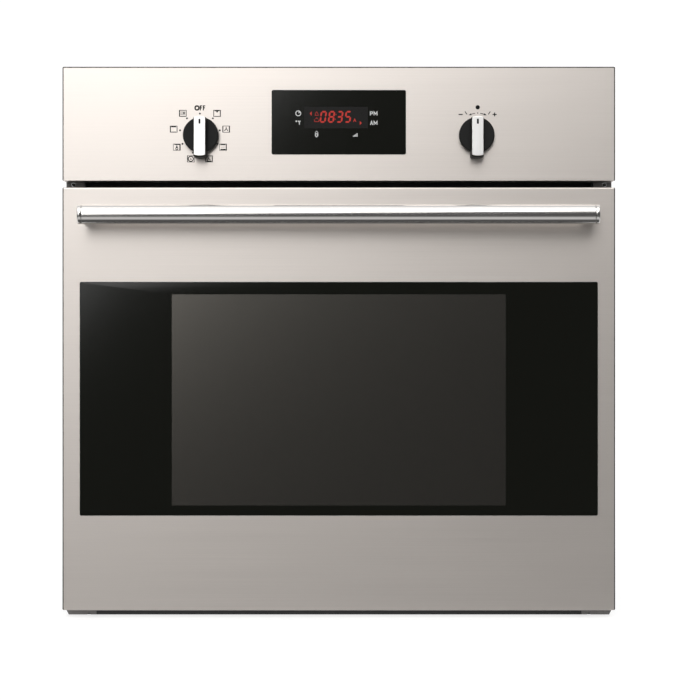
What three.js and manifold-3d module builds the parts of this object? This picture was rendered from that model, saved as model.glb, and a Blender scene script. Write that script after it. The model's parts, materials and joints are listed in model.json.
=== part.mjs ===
// A built-in wall oven: a steel front with two knobs and a clock above a drop-down glazed
// door, and behind it the enamelled cavity, its heaters and fans, and the sheet-steel case.
// Millimetres. The front faces -Y, +X is to the right, +Z is up.
// Pieces are modelled with y = 0 in the plane of the cabinet's front edge and z = 0 under
// the base, and the whole group is then moved so that the origin is below the box's centre.

import * as THREE from 'three';
import { mergeVertices } from 'three/addons/utils/BufferGeometryUtils.js';
import Module from 'manifold-3d';

const wasm = await Module();
wasm.setup();

// ---- Driving dimensions --------------------------------------------------------------

const fitGap = 0.3;
const sheetWall = 1.2;
const screwRadius = 2.2;

const facadeWidth = 595;
const facadeDepth = 24;
const facadeCorner = 1.5;
const panelHeight = 123;
const panelGap = 7;
const doorHeight = 455;
const doorClearance = 8;

const cabinetOverlap = 19.5;
const carcassDrop = 18;
const carcassDepth = 545;
const flangeInset = 0.7;
const flangeTopInset = 3;
const faceSetback = 14;
const lipHeight = 5;
const lipChamfer = 3;
const fixingHoleInset = 7.6;
const fixingHoleRise = 5;

const cavitySideSpace = 48;
const cavityFloorRise = 68;
const cavityHeadDrop = 37;
const cavityRearSpace = 120;
const linerWall = 1.2;
const linerFlange = 14;
const insulationWall = 24;
const bakeSpace = 9;
const gasketWidth = 9;
const gasketInset = 3;
const gasketCorner = 6;
const plugClearance = 4.5;

const displayWidth = 144;
const displayHeight = 69;
const displayCorner = 1.6;
const displayGlassThickness = 4;
const displayProud = 0.4;
const displayRise = 28.5;
const moduleWidth = 72;
const moduleHeight = 27;
const moduleDepth = 9;
const moduleOffsetX = -3;
const moduleRise = 5;
const boardThickness = 1.6;
const boardMargin = 5;

const knobSpread = 148;
const knobRise = 48.5;
const knobRadius = 19;
const knobLift = 2.6;
const knobSkirt = 7;
const knobProtrusion = 22;
const gripWidth = 14;
const gripLead = 18.8;
const gripTail = 25.2;
const gripEndRadius = 17;
const capInset = 0.5;
const capTailInset = 1.4;
const capThickness = 2.4;
const pointerWidth = 2;
const pointerLength = 5.5;
const pointerInset = 2.5;
const pointerDepth = 1;
const shaftRadius = 3;
const pressTravel = 2;
const bushRadius = 4.8;
const switchSize = 40;
const switchDepth = 18;
const encoderSize = 28;
const encoderDepth = 13;

const glassSideInset = 19;
const glassRise = 102;
const glassHeadDrop = 102;
const glassThickness = 4;
const glassCorner = 1.5;
const glassSink = 0.3;
const innerGlassInset = 23;
const plugSideInset = 20;
const plugCorner = 8;
const plugFoot = 38;
const plugHead = 17;
const topTrimHeight = 11;
const topReturn = 6;
const ventSlotLength = 34;
const ventSlotPitch = 44;
const ventSlotWidth = 6;
const skinRearGap = 0.8;

const handleEndInset = 22.5;
const handleHeight = 20.5;
const handleDepth = 15;
const handleCorner = 7.4;
const handleDrop = 32;
const handleReach = 45;
const handleCap = 4.3;
const handleLegWidth = 13;
const handleLegHeight = 16;

const hingeInset = 14;
const hingePinRise = 8;
const hingePinRadius = 3;
const swingClearance = 0.5;
const channelWidth = 14;
const channelLength = 210;
const channelFoot = 2;
const channelWall = 1.5;
const tongueWidth = 4;
const tongueClearance = 2;
const receiverDepth = 46;
const receiverHeight = 44;
const receiverRise = 6;

const louvreLength = 90;
const louvreWidth = 4;
const louvrePitch = 14;
const louvreDrop = 40;
const louvreRearInset = 117;
const ventWidth = 8;
const ventPitch = 22;
const backVentLength = 110;
const baseRibWidth = 24;
const baseRibPitch = 150;
const baseRibInset = 40;
const baseRibHeight = 5;
const coverSkirt = 14;

const ductWidth = 400;
const ductHeight = 15;
const ductDepth = 320;
const blowerWidth = 170;
const blowerDepth = 84;
const blowerHeight = 76;
const blowerOffsetX = -40;
const blowerRadius = 30;
const blowerBlades = 12;
const throatInset = 15;
const inletSideInset = 12;
const inletRim = 16;
const blowerMotorLength = 46;
const blowerMotorRadius = 25;

const fanRadius = 72;
const fanBlades = 8;
const fanDepth = 24;
const fanBackGap = 9;
const fanShaftRadius = 4;
const fanHubRadius = 12;
const fanEyeRadius = 28;
const fanPlate = 1.5;
const fanDrop = 10;
const fanHoleClearance = 3;
const motorRadius = 38;
const motorLength = 58;
const ringRadius = 88;
const ringLegRise = 14;
const ringLegSpread = 12;
const grillSideInset = 40;
const grillInnerX = 100;
const grillFrontInset = 60;
const grillRearInset = 30;
const grillDrop = 18;
const grillLegX = 30;
const bakeSideInset = 60;
const bakeInnerX = 60;
const bakeFrontInset = 60;
const bakeRearInset = 70;
const bakeLegX = 35;
const heaterStep = 50;
const heaterBend = 24;
const heaterTail = 26;
const heaterPlate = 18;
const heaterRadius = 3.3;
const baffleWidth = 300;
const baffleHeight = 270;
const baffleDepth = 44;
const baffleCorner = 24;
const baffleSlots = 14;
const baffleSlotLength = 36;
const baffleSlotWidth = 6;
const baffleSlotStart = 24;
const baffleSidePitch = 30;
const baffleSideSlot = 12;
const baffleSideInset = 10;

const lampSideInset = 42;
const lampDrop = 40;
const lampRadius = 19;
const lampDepth = 52;
const lensDepth = 14;
const probeLength = 70;
const probeRadius = 2.5;
const probeTail = 12;
const probePlateRadius = 9;

const railWire = 3;
const railCount = 5;
const railPitch = 60;
const railFloorRise = 40;
const railWeld = 0.9;
const rackFrontInset = 22;
const rackDepth = 320;
const rackPostInset = 20;
const rackFootRise = 12;
const shelfWire = 2;
const shelfEdgeWire = 2.5;
const shelfWires = 19;
const shelfDepth = 330;
const shelfBackGap = 4;
const shelfLevel = 2;
const trayLevel = 0;
const trayDepth = 330;
const trayHeight = 24;
const trayRim = 12;

const glandRadius = 13;
const glandBore = 9;
const glandReach = 14;
const terminalWidth = 64;
const terminalDepth = 30;
const terminalHeight = 34;
const serviceX = 200;
const boardWidth = 130;
const boardDepth = 96;
const boardOffsetX = -195;
const boardFrontInset = 60;
const standoffHeight = 8;
const standoffSize = 6;
const transformerSize = 34;

// ---- Planes and places worked out from the dimensions --------------------------------

const carcassWidth = facadeWidth - 2 * cabinetOverlap;
const flangeWidth = facadeWidth - 2 * flangeInset;
const cavityWidth = carcassWidth - 2 * cavitySideSpace;
const cavityHeight = doorHeight - cavityFloorRise - cavityHeadDrop;
const glassWidth = facadeWidth - 2 * glassSideInset;
const glassHeight = doorHeight - glassRise - glassHeadDrop;
const plugWidth = carcassWidth - 2 * plugSideInset;
const innerGlassWidth = plugWidth - 2 * innerGlassInset;
const handleLength = facadeWidth - 2 * handleEndInset;
const hingeSpread = carcassWidth / 2 - hingeInset;
const lampX = cavityWidth / 2 - lampSideInset;
const probeX = -lampX;

const doorBottom = doorClearance;
const doorTop = doorBottom + doorHeight;
const panelBottom = doorTop + panelGap;
const panelTop = panelBottom + panelHeight;
const facadeFront = -facadeDepth;
const flangeFront = -sheetWall;
const flangeTop = panelTop - flangeTopInset;
const faceFront = faceSetback;
const faceBack = faceSetback + sheetWall;
const sideX = carcassWidth / 2;
const caseInnerX = sideX - sheetWall;
const caseTop = panelTop - carcassDrop;
const caseBack = carcassDepth;

const linerFront = faceBack;
const cavityFloor = doorBottom + cavityFloorRise;
const cavityTop = cavityFloor + cavityHeight;
const cavityBack = caseBack - cavityRearSpace;
const cavityCenterZ = cavityFloor + cavityHeight / 2;
const linerBack = cavityBack + linerWall;
const wrapInnerX = cavityWidth / 2 + linerWall + fitGap;
const wrapInnerTop = cavityTop + linerWall + fitGap;
const wrapInnerFloor = cavityFloor - linerWall - bakeSpace;
const wrapTop = wrapInnerTop + insulationWall;
const wrapBack = linerBack + fitGap + insulationWall;

const skinRear = flangeFront - skinRearGap;
const plugRear = faceFront - plugClearance;
const plugBottom = doorBottom + plugFoot;
const plugTop = doorTop - plugHead;
const linerSeat = skinRear - sheetWall;
const glassBottom = doorBottom + glassRise;
const glassMiddleZ = glassBottom + glassHeight / 2;
const glassRear = facadeFront + glassSink + glassThickness;
const plugHeight = plugTop - plugBottom;
const plugMiddleZ = (plugBottom + plugTop) / 2;
const innerGlassHeight = plugHeight - 2 * innerGlassInset;

const channelRear = linerSeat - sheetWall - fitGap;
const channelFront = glassRear + fitGap;
const pinY = (channelFront + channelRear) / 2;
const pinZ = doorBottom + hingePinRise;
const tongueNose = pinY - channelFront - channelWall - fitGap;
const tongueHeight = 2 * tongueNose;

const knobRear = facadeFront - knobLift;
const knobFront = facadeFront - knobProtrusion;
const skirtFront = knobRear - knobSkirt;
const capRear = knobFront + capThickness;
const knobZ = panelBottom + knobRise;
const displayZ = panelBottom + displayRise + displayHeight / 2;
const displayFront = facadeFront - displayProud;
const displayRear = displayFront + displayGlassThickness;
const moduleZ = displayZ + moduleRise;
const moduleRear = displayRear + fitGap + moduleDepth;
const shaftInner = facadeFront + sheetWall + fitGap + encoderDepth - sheetWall;
const capInsideDepth = capRear + sheetWall;

const handleZ = doorTop - handleDrop;
const handleFront = facadeFront - handleReach;
const handleRear = handleFront + handleDepth;

const fanZ = cavityCenterZ - fanDrop;
const baffleFront = cavityBack - baffleDepth;
const ductFloor = wrapTop + fitGap;
const ductTop = ductFloor + ductHeight;
const blowerBack = faceBack + ductDepth;
const blowerFront = blowerBack - blowerDepth;
const blowerY = (blowerFront + blowerBack) / 2;
const blowerZ = ductTop + blowerHeight / 2 + 2;

const postX = cavityWidth / 2 - railWire - fitGap;
const railX = postX - 2 * railWire + railWeld;
const railPairRise = 2 * (railWire + shelfEdgeWire + fitGap);
const rackFront = linerFront + rackFrontInset;
const rackBack = rackFront + rackDepth;
const slideBack = baffleFront - shelfBackGap;
const lampZ = cavityTop - lampDrop;

const backmost = caseBack + glandReach;
const originY = (handleFront + backmost) / 2;

// ---- Materials -----------------------------------------------------------------------

const paint = (color, roughness, metalness, extra = {}) =>
  new THREE.MeshStandardMaterial({ color, roughness, metalness, ...extra });

const materials = {
  brushedSteel: paint(0xc9c4be, 0.32, 1),
  handleSteel: paint(0xcfcac4, 0.28, 1),
  blackGlass: paint(0x16160f, 0.06, 0, { transparent: true, opacity: 0.92 }),
  clearGlass: paint(0xbfc9c6, 0.05, 0, { transparent: true, opacity: 0.35 }),
  blackPlastic: paint(0x1a1a1a, 0.45, 0),
  greenBoard: paint(0x1f5a3a, 0.6, 0),
  galvanised: paint(0x9a9c9c, 0.5, 1),
  greyFlange: paint(0x6f6d6a, 0.5, 1),
  blackEnamel: paint(0x17171a, 0.25, 0),
  greyEnamel: paint(0x2b2d33, 0.3, 0),
  mineralWool: paint(0xc9b98a, 1, 0),
  gasketBlack: paint(0x222222, 0.8, 0),
  heaterSteel: paint(0x565150, 0.45, 1),
  chromeWire: paint(0xb9bbbd, 0.2, 1),
  aluminium: paint(0xb8babb, 0.4, 1),
  whiteCeramic: paint(0xe6e2d8, 0.4, 0),
};

// ---- Helpers -------------------------------------------------------------------------

const oven = new THREE.Group();

function toSolid(geometry) {
  const bare = geometry.clone();
  bare.deleteAttribute('normal');
  bare.deleteAttribute('uv');
  const merged = mergeVertices(bare, 1e-4);
  return new wasm.Manifold(new wasm.Mesh({
    numProp: 3,
    vertProperties: new Float32Array(merged.attributes.position.array),
    triVerts: new Uint32Array(merged.index.array),
  }));
}

function toGeometry(solid) {
  const mesh = solid.getMesh();
  const geometry = new THREE.BufferGeometry();
  geometry.setAttribute('position', new THREE.BufferAttribute(mesh.vertProperties, 3));
  geometry.setIndex(new THREE.BufferAttribute(mesh.triVerts, 1));
  geometry.computeVertexNormals();
  return geometry;
}

function piece(name, shape, material) {
  const geometry = shape.isBufferGeometry ? shape : toGeometry(shape);
  const mesh = new THREE.Mesh(geometry, material);
  mesh.name = name;
  oven.add(mesh);
}

const join = (solids) => solids.reduce((all, solid) => all.add(solid));
const cut = (solid, tools) => tools.reduce((rest, tool) => rest.subtract(tool), solid);

function block(x, y, z) {
  const geometry = new THREE.BoxGeometry(x[1] - x[0], y[1] - y[0], z[1] - z[0]);
  geometry.translate((x[0] + x[1]) / 2, (y[0] + y[1]) / 2, (z[0] + z[1]) / 2);
  return toSolid(geometry);
}

// A span on the left (side -1) or right (side 1), from inner to outer distance.
const sideSpan = (side, inner, outer) => (side > 0 ? [inner, outer] : [-outer, -inner]);
const around = (middle, size) => [middle - size / 2, middle + size / 2];

function roundedShape(width, height, radius) {
  const x = width / 2;
  const y = height / 2;
  const shape = new THREE.Shape();
  shape.moveTo(-x + radius, -y);
  shape.lineTo(x - radius, -y);
  shape.absarc(x - radius, -y + radius, radius, -Math.PI / 2, 0);
  shape.lineTo(x, y - radius);
  shape.absarc(x - radius, y - radius, radius, 0, Math.PI / 2);
  shape.lineTo(-x + radius, y);
  shape.absarc(-x + radius, y - radius, radius, Math.PI / 2, Math.PI);
  shape.lineTo(-x, -y + radius);
  shape.absarc(-x + radius, -y + radius, radius, Math.PI, Math.PI * 1.5);
  return shape;
}

// Straight sides between two ends that bow outwards.
function archedShape(width, length, endRadius) {
  const half = Math.asin(width / 2 / endRadius);
  const middle = length / 2 - endRadius;
  const shape = new THREE.Shape();
  shape.absarc(0, middle, endRadius, Math.PI / 2 - half, Math.PI / 2 + half);
  shape.absarc(0, -middle, endRadius, Math.PI * 1.5 - half, Math.PI * 1.5 + half);
  return shape;
}

// A plate standing in the XZ plane, from y[0] to y[1].
function uprightPlate(shape, y, x, z, curveSegments = 3) {
  const geometry = new THREE.ExtrudeGeometry(shape, {
    depth: y[1] - y[0], bevelEnabled: false, curveSegments,
  });
  geometry.rotateX(Math.PI / 2);
  geometry.translate(x, y[1], z);
  return toSolid(geometry);
}

// A profile drawn in YZ (y to the shape's x, z to its y) and run along X.
function alongX(shape, x, y, z, curveSegments = 4) {
  const geometry = new THREE.ExtrudeGeometry(shape, {
    depth: x[1] - x[0], bevelEnabled: false, curveSegments,
  });
  geometry.rotateY(Math.PI / 2);
  geometry.rotateX(Math.PI / 2);
  geometry.translate(x[0], y, z);
  return toSolid(geometry);
}

function rodX(radius, x, y, z, sides = 16) {
  const geometry = new THREE.CylinderGeometry(radius, radius, x[1] - x[0], sides);
  geometry.rotateZ(Math.PI / 2);
  geometry.translate((x[0] + x[1]) / 2, y, z);
  return toSolid(geometry);
}

function rodY(radius, x, y, z, sides = 16) {
  const geometry = new THREE.CylinderGeometry(radius, radius, y[1] - y[0], sides);
  geometry.translate(x, (y[0] + y[1]) / 2, z);
  return toSolid(geometry);
}

function rodZ(radius, x, y, z, sides = 16) {
  const geometry = new THREE.CylinderGeometry(radius, radius, z[1] - z[0], sides);
  geometry.rotateX(Math.PI / 2);
  geometry.translate(x, y, (z[0] + z[1]) / 2);
  return toSolid(geometry);
}

// A round bar bent through points that lie in one plane, with rounded corners.
function bentBar(points, bendRadius, radius, steps) {
  const path = new THREE.CurvePath();
  let from = points[0];
  for (let i = 1; i < points.length - 1; i += 1) {
    const corner = points[i];
    const before = corner.clone().sub(points[i - 1]).normalize();
    const after = points[i + 1].clone().sub(corner).normalize();
    const entry = corner.clone().addScaledVector(before, -bendRadius);
    const exit = corner.clone().addScaledVector(after, bendRadius);
    path.add(new THREE.LineCurve3(from, entry));
    path.add(new THREE.QuadraticBezierCurve3(entry, corner, exit));
    from = exit;
  }
  path.add(new THREE.LineCurve3(from, points[points.length - 1]));
  const section = new THREE.Shape();
  section.absarc(0, 0, radius, 0, Math.PI * 2);
  return toSolid(new THREE.ExtrudeGeometry(section, {
    extrudePath: path, steps, curveSegments: 3, bevelEnabled: false,
  }));
}

const bothSides = [[-1, 'left'], [1, 'right']];
const point = (x, y, z) => new THREE.Vector3(x, y, z);

// ---- Control panel -------------------------------------------------------------------

const inlaid = (width, height, corner) =>
  roundedShape(width + 2 * fitGap, height + 2 * fitGap, corner + fitGap);

function controlFascia() {
  const z = (panelBottom + panelTop) / 2;
  const shell = uprightPlate(
    roundedShape(facadeWidth, panelHeight, facadeCorner), [facadeFront, flangeFront], 0, z);
  const inside = block(
    around(0, facadeWidth - 2 * sheetWall),
    [facadeFront + sheetWall, 0],
    [panelBottom + sheetWall, panelTop - sheetWall]);
  const window = uprightPlate(
    inlaid(displayWidth, displayHeight, displayCorner),
    [facadeFront - 1, facadeFront + 2 * sheetWall], 0, displayZ);
  const shaftHoles = [-1, 1].map((side) =>
    rodY(bushRadius + fitGap, side * knobSpread, [facadeFront - 1, facadeFront + 2 * sheetWall], knobZ));
  return cut(shell, [inside, window, ...shaftHoles]);
}

function displayPieces() {
  piece('display_glass', uprightPlate(
    roundedShape(displayWidth, displayHeight, displayCorner),
    [displayFront, displayRear], 0, displayZ), materials.blackGlass);
  piece('display_module', block(
    around(moduleOffsetX, moduleWidth), [displayRear + fitGap, moduleRear],
    around(moduleZ, moduleHeight)), materials.blackPlastic);
  piece('display_board', block(
    around(0, displayWidth + 2 * boardMargin), [moduleRear, moduleRear + boardThickness],
    around(displayZ, displayHeight - boardMargin)), materials.greenBoard);
}

function switchBody(x, size, depth) {
  const front = facadeFront + sheetWall + fitGap;
  const body = block(around(x, size), [front, front + depth], around(knobZ, size));
  const bush = rodY(bushRadius, x, [facadeFront - fitGap, front + 1], knobZ);
  const bore = rodY(shaftRadius + fitGap, x, [facadeFront - 2 * sheetWall, shaftInner + fitGap], knobZ);
  return cut(join([body, bush]), [bore]);
}

// The grip bar's middle is below the shaft, because its tail is longer than its pointer end.
function knob(prefix, x) {
  const arched = (width, lead, tail, y) => uprightPlate(
    archedShape(width, lead + tail, gripEndRadius), y, x, knobZ + (lead - tail) / 2);
  const skirt = rodY(knobRadius, x, [skirtFront, knobRear], knobZ, 48);
  const grip = arched(gripWidth, gripLead, gripTail, [capRear, knobRear]);
  const bore = rodY(
    shaftRadius + fitGap, x, [capInsideDepth, knobRear + 1], knobZ);
  piece(`${prefix}_body`, cut(join([skirt, grip]), [bore]), materials.blackPlastic);
  const pointer = block(
    around(x, pointerWidth), [knobFront - 1, knobFront + pointerDepth],
    [knobZ + gripLead - pointerInset - pointerLength, knobZ + gripLead - pointerInset]);
  const cap = arched(
    gripWidth - 2 * capInset, gripLead - capInset, gripTail - capTailInset, [knobFront, capRear]);
  piece(`${prefix}_cap`, cut(cap, [pointer]), materials.handleSteel);
  piece(`${prefix}_shaft`, rodY(
    shaftRadius, x, [capInsideDepth + pressTravel + fitGap, shaftInner], knobZ),
  materials.aluminium);
}

// ---- Door ----------------------------------------------------------------------------

const tongueSlotX = (side) => sideSpan(
  side,
  hingeSpread - tongueWidth / 2 - tongueClearance,
  hingeSpread + tongueWidth / 2 + tongueClearance);

// What the door's lower rear edge loses so that it swings past the frame's flange.
function swingRelief() {
  const quadrant = block([-facadeWidth, facadeWidth], [pinY, 0], [doorBottom - 1, pinZ]);
  const swing = rodX(
    flangeFront - swingClearance - pinY, [-facadeWidth - 1, facadeWidth + 1], pinY, pinZ, 48);
  return cut(quadrant, [swing]);
}

function doorSkin() {
  const middleZ = (doorBottom + doorTop) / 2;
  const shell = uprightPlate(
    roundedShape(facadeWidth, doorHeight, facadeCorner), [facadeFront, skinRear], 0, middleZ);
  const inside = block(
    around(0, facadeWidth - 2 * sheetWall),
    [facadeFront + sheetWall, 0],
    [doorBottom + sheetWall, doorTop - sheetWall]);
  const window = uprightPlate(
    inlaid(glassWidth, glassHeight, glassCorner),
    [facadeFront - 1, facadeFront + 2 * sheetWall], 0, glassMiddleZ);
  const topOpening = block(
    around(0, facadeWidth - 2 * sheetWall),
    [facadeFront + topReturn, 0], [doorTop - 2 * sheetWall, doorTop + 1]);
  const slots = [-1, 1].map((side) => block(
    tongueSlotX(side), [facadeFront + 2 * sheetWall, 0],
    [doorBottom - 1, doorBottom + 2 * sheetWall]));
  return cut(shell, [inside, window, topOpening, swingRelief(), ...slots]);
}

function doorLiner() {
  const innerX = facadeWidth / 2 - sheetWall - fitGap;
  const top = doorTop - topTrimHeight - fitGap;
  const flange = block(
    around(0, 2 * innerX), [linerSeat - sheetWall, linerSeat],
    [doorBottom + sheetWall + fitGap, top]);
  const plug = uprightPlate(
    roundedShape(plugWidth, plugHeight, plugCorner), [linerSeat - sheetWall, plugRear],
    0, plugMiddleZ);
  const hollow = uprightPlate(
    roundedShape(
      plugWidth - 2 * sheetWall, plugHeight - 2 * sheetWall, plugCorner - sheetWall),
    [linerSeat - 2 * sheetWall, plugRear - sheetWall], 0, plugMiddleZ);
  const opening = uprightPlate(
    inlaid(innerGlassWidth, innerGlassHeight, glassCorner),
    [plugRear - 2 * sheetWall, plugRear + 1], 0, plugMiddleZ);
  const slots = [-1, 1].map((side) => block(
    tongueSlotX(side), [linerSeat - 2 * sheetWall, linerSeat + 1],
    [doorBottom, pinZ + tongueHeight / 2 + tongueClearance]));
  return cut(join([flange, plug]), [hollow, opening, swingRelief(), ...slots]);
}

function doorTopTrim() {
  const innerX = facadeWidth / 2 - sheetWall - fitGap;
  const bar = block(
    around(0, 2 * innerX), [facadeFront + topReturn + fitGap, linerSeat],
    [doorTop - topTrimHeight, doorTop]);
  const slotY = (facadeFront + topReturn + linerSeat) / 2;
  const count = Math.floor((2 * innerX - ventSlotPitch) / ventSlotPitch);
  const slots = [];
  for (let i = 0; i < count; i += 1) {
    const x = (i - (count - 1) / 2) * ventSlotPitch;
    slots.push(block(
      around(x, ventSlotLength), around(slotY, ventSlotWidth),
      [doorTop - topTrimHeight - 1, doorTop + 1]));
  }
  return cut(bar, slots);
}

function handleShape() {
  return roundedShape(handleDepth, handleHeight, handleCorner);
}

function handlePieces() {
  const y = (handleFront + handleRear) / 2;
  const barEnd = handleLength / 2 - handleCap - fitGap;
  piece('handle_bar', alongX(handleShape(), [-barEnd, barEnd], y, handleZ), materials.handleSteel);
  for (const [side, name] of bothSides) {
    const cap = alongX(
      handleShape(), sideSpan(side, handleLength / 2 - handleCap, handleLength / 2), y, handleZ);
    const leg = block(
      sideSpan(side, handleLength / 2 - handleLegWidth, handleLength / 2),
      [handleRear + fitGap, facadeFront], around(handleZ, handleLegHeight));
    const neck = block(
      sideSpan(side, handleLength / 2 - handleCap, handleLength / 2),
      [y, facadeFront], around(handleZ, handleLegHeight));
    piece(`handle_end_${name}`, join([cap, neck, leg]), materials.handleSteel);
  }
}

function hingePieces(side, name) {
  const channelX = [hingeSpread - channelWidth / 2, hingeSpread + channelWidth / 2];
  const channelZ = [doorBottom + channelFoot, doorBottom + channelFoot + channelLength];
  const channel = block(sideSpan(side, ...channelX), [channelFront, channelRear], channelZ);
  const trough = block(
    sideSpan(side, channelX[0] + channelWall, channelX[1] - channelWall),
    [channelFront + channelWall, channelRear + 1], [channelZ[0] - 1, channelZ[1] + 1]);
  const pinHole = rodX(
    hingePinRadius + fitGap, sideSpan(side, channelX[0] - 1, channelX[1] + 1), pinY, pinZ);
  piece(`hinge_channel_${name}`, cut(channel, [trough, pinHole]), materials.galvanised);
  piece(`hinge_pin_${name}`, rodX(
    hingePinRadius, sideSpan(side, channelX[0], channelX[1]), pinY, pinZ), materials.aluminium);
  const receiver = block(
    sideSpan(side, ...channelX), [faceBack, faceBack + receiverDepth],
    [pinZ - tongueHeight / 2 - receiverRise, pinZ - tongueHeight / 2 - receiverRise + receiverHeight]);
  const tongue = block(
    sideSpan(side, hingeSpread - tongueWidth / 2, hingeSpread + tongueWidth / 2),
    [pinY, faceBack + 1], around(pinZ, tongueHeight));
  const nose = rodX(tongueNose, sideSpan(
    side, hingeSpread - tongueWidth / 2, hingeSpread + tongueWidth / 2), pinY, pinZ, 20);
  const eye = rodX(
    hingePinRadius + fitGap, sideSpan(side, channelX[0], channelX[1]), pinY, pinZ);
  piece(`hinge_arm_${name}`, cut(join([receiver, tongue, nose]), [eye]), materials.galvanised);
}

// ---- Front frame and case ------------------------------------------------------------

function frontFrame() {
  const face = block([-sideX, sideX], [faceFront, faceBack], [0, caseTop]);
  const floor = block([-sideX, sideX], [flangeFront, faceBack], [0, sheetWall]);
  const parts = [face, floor];
  for (const side of [-1, 1]) {
    parts.push(block(sideSpan(side, caseInnerX, sideX), [flangeFront, faceBack], [0, caseTop]));
    parts.push(block(
      sideSpan(side, caseInnerX, flangeWidth / 2), [flangeFront, 0], [0, flangeTop]));
  }
  parts.push(block([-flangeWidth / 2, flangeWidth / 2], [flangeFront, 0], [0, lipHeight]));
  parts.push(block(
    [-flangeWidth / 2, flangeWidth / 2], [flangeFront, 0], [caseTop - sheetWall, flangeTop]));
  parts.push(block([-sideX, sideX], [flangeFront, faceBack], [caseTop - sheetWall, caseTop]));
  const cuts = [
    block(around(0, cavityWidth), [faceFront - 1, faceBack + 1], [cavityFloor, cavityTop]),
    block(
      around(0, carcassWidth - 4 * linerFlange), [faceFront - 1, faceBack + 1],
      [panelBottom + linerFlange, caseTop - linerFlange]),
  ];
  const ventCount = Math.floor(ductWidth / ventSlotPitch);
  for (let i = 0; i < ventCount; i += 1) {
    cuts.push(block(
      around((i - (ventCount - 1) / 2) * ventSlotPitch, ventSlotLength),
      [faceFront - 1, faceBack + 1], around(ductFloor + ductHeight / 2, ventSlotWidth)));
  }
  for (const side of [-1, 1]) {
    cuts.push(rodY(
      screwRadius, side * (flangeWidth / 2 - fixingHoleInset), [flangeFront - 1, 1],
      doorTop + fixingHoleRise));
    cuts.push(block(
      tongueSlotX(side), [faceFront - 1, faceBack + 1],
      around(pinZ, tongueHeight + 2 * tongueClearance)));
    const corner = new THREE.Shape();
    corner.moveTo(0, -1);
    corner.lineTo(side * 2 * lipChamfer, -1);
    corner.lineTo(side * 2 * lipChamfer, lipHeight);
    corner.lineTo(side * lipChamfer, lipHeight);
    cuts.push(uprightPlate(
      corner, [flangeFront - 1, 1], side * (flangeWidth / 2 - lipChamfer), 0));
    const notch = new THREE.Shape();
    notch.moveTo(-lipChamfer, -1);
    notch.lineTo(lipChamfer, -1);
    notch.lineTo(0, lipHeight / 2);
    cuts.push(uprightPlate(notch, [flangeFront - 1, 1], side * (sideX - 2 * lipChamfer), 0));
  }
  return cut(join(parts), cuts);
}

function caseBox() {
  for (const [side, name] of bothSides) {
    const wall = block(
      sideSpan(side, caseInnerX, sideX), [faceBack, caseBack - sheetWall],
      [sheetWall, caseTop - sheetWall]);
    const louvres = [0, 1, 2, 3, 4, 5].map((row) => block(
      sideSpan(side, caseInnerX - 1, sideX + 1),
      [caseBack - louvreRearInset - louvreLength, caseBack - louvreRearInset],
      around(caseTop - louvreDrop - row * louvrePitch, louvreWidth)));
    piece(`side_panel_${name}`, cut(wall, louvres), materials.galvanised);
  }
  const base = block([-sideX, sideX], [faceBack, caseBack], [0, sheetWall]);
  const ribs = [-1, 0, 1].map((row) => block(
    around(row * baseRibPitch, baseRibWidth), [faceBack + baseRibInset, caseBack - baseRibInset],
    [sheetWall / 2, sheetWall + baseRibHeight]));
  piece('base_panel', join([base, ...ribs]), materials.galvanised);
  const top = block([-sideX, sideX], [faceBack, caseBack], [caseTop - sheetWall, caseTop]);
  const turndown = block(
    around(0, 2 * (caseInnerX - fitGap)),
    [caseBack - 2 * sheetWall - fitGap, caseBack - sheetWall - fitGap],
    [caseTop - coverSkirt, caseTop - sheetWall / 2]);
  const inlets = [-3, -2, -1, 0, 1, 2, 3].map((row) => block(
    around(blowerOffsetX + row * ventPitch, ventWidth), around(blowerY, blowerDepth - ventWidth),
    [caseTop - 2 * sheetWall, caseTop + 1]));
  piece('top_cover', cut(join([top, turndown]), inlets), materials.galvanised);
  const back = block(
    [-sideX, sideX], [caseBack - sheetWall, caseBack], [sheetWall, caseTop - sheetWall]);
  const glandHole = rodY(
    glandRadius + fitGap, serviceX, [caseBack - 2 * sheetWall, caseBack + 1],
    ductTop + terminalHeight + 2 * glandRadius);
  const backVents = [-4, -3, -2, -1, 0, 1, 2, 3, 4].map((row) => block(
    around(row * ventPitch, ventWidth), [caseBack - 2 * sheetWall, caseBack + 1],
    around(cavityCenterZ, backVentLength)));
  piece('back_panel', cut(back, [glandHole, ...backVents]), materials.galvanised);
}

// ---- Cavity --------------------------------------------------------------------------

function rearHoles(y) {
  return [
    rodY(fanShaftRadius + fanHoleClearance, 0, y, fanZ),
    rodY(lampRadius + fitGap, lampX, y, lampZ, 24),
    rodY(probeRadius + fitGap, probeX, y, lampZ),
  ];
}

const grillZ = cavityTop - grillDrop;
const ringLegZ = fanZ + ringRadius + ringLegRise;

function heaterHoles(y) {
  const holes = [];
  for (const side of [-1, 1]) {
    holes.push(rodY(heaterRadius + fitGap, side * grillLegX, y, grillZ));
    holes.push(rodY(heaterRadius + fitGap, side * ringLegSpread, y, ringLegZ));
  }
  return holes;
}

function cavityLiner() {
  const outer = block(
    around(0, cavityWidth + 2 * linerWall), [linerFront, linerBack],
    [cavityFloor - linerWall, cavityTop + linerWall]);
  const flange = block(
    around(0, cavityWidth + 2 * linerFlange), [linerFront, linerFront + linerWall],
    [cavityFloor - linerFlange, cavityTop + linerFlange]);
  const inside = block(
    around(0, cavityWidth), [linerFront - 1, cavityBack], [cavityFloor, cavityTop]);
  const y = [cavityBack - 1, linerBack + 1];
  return cut(join([outer, flange]), [inside, ...rearHoles(y), ...heaterHoles(y)]);
}

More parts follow.
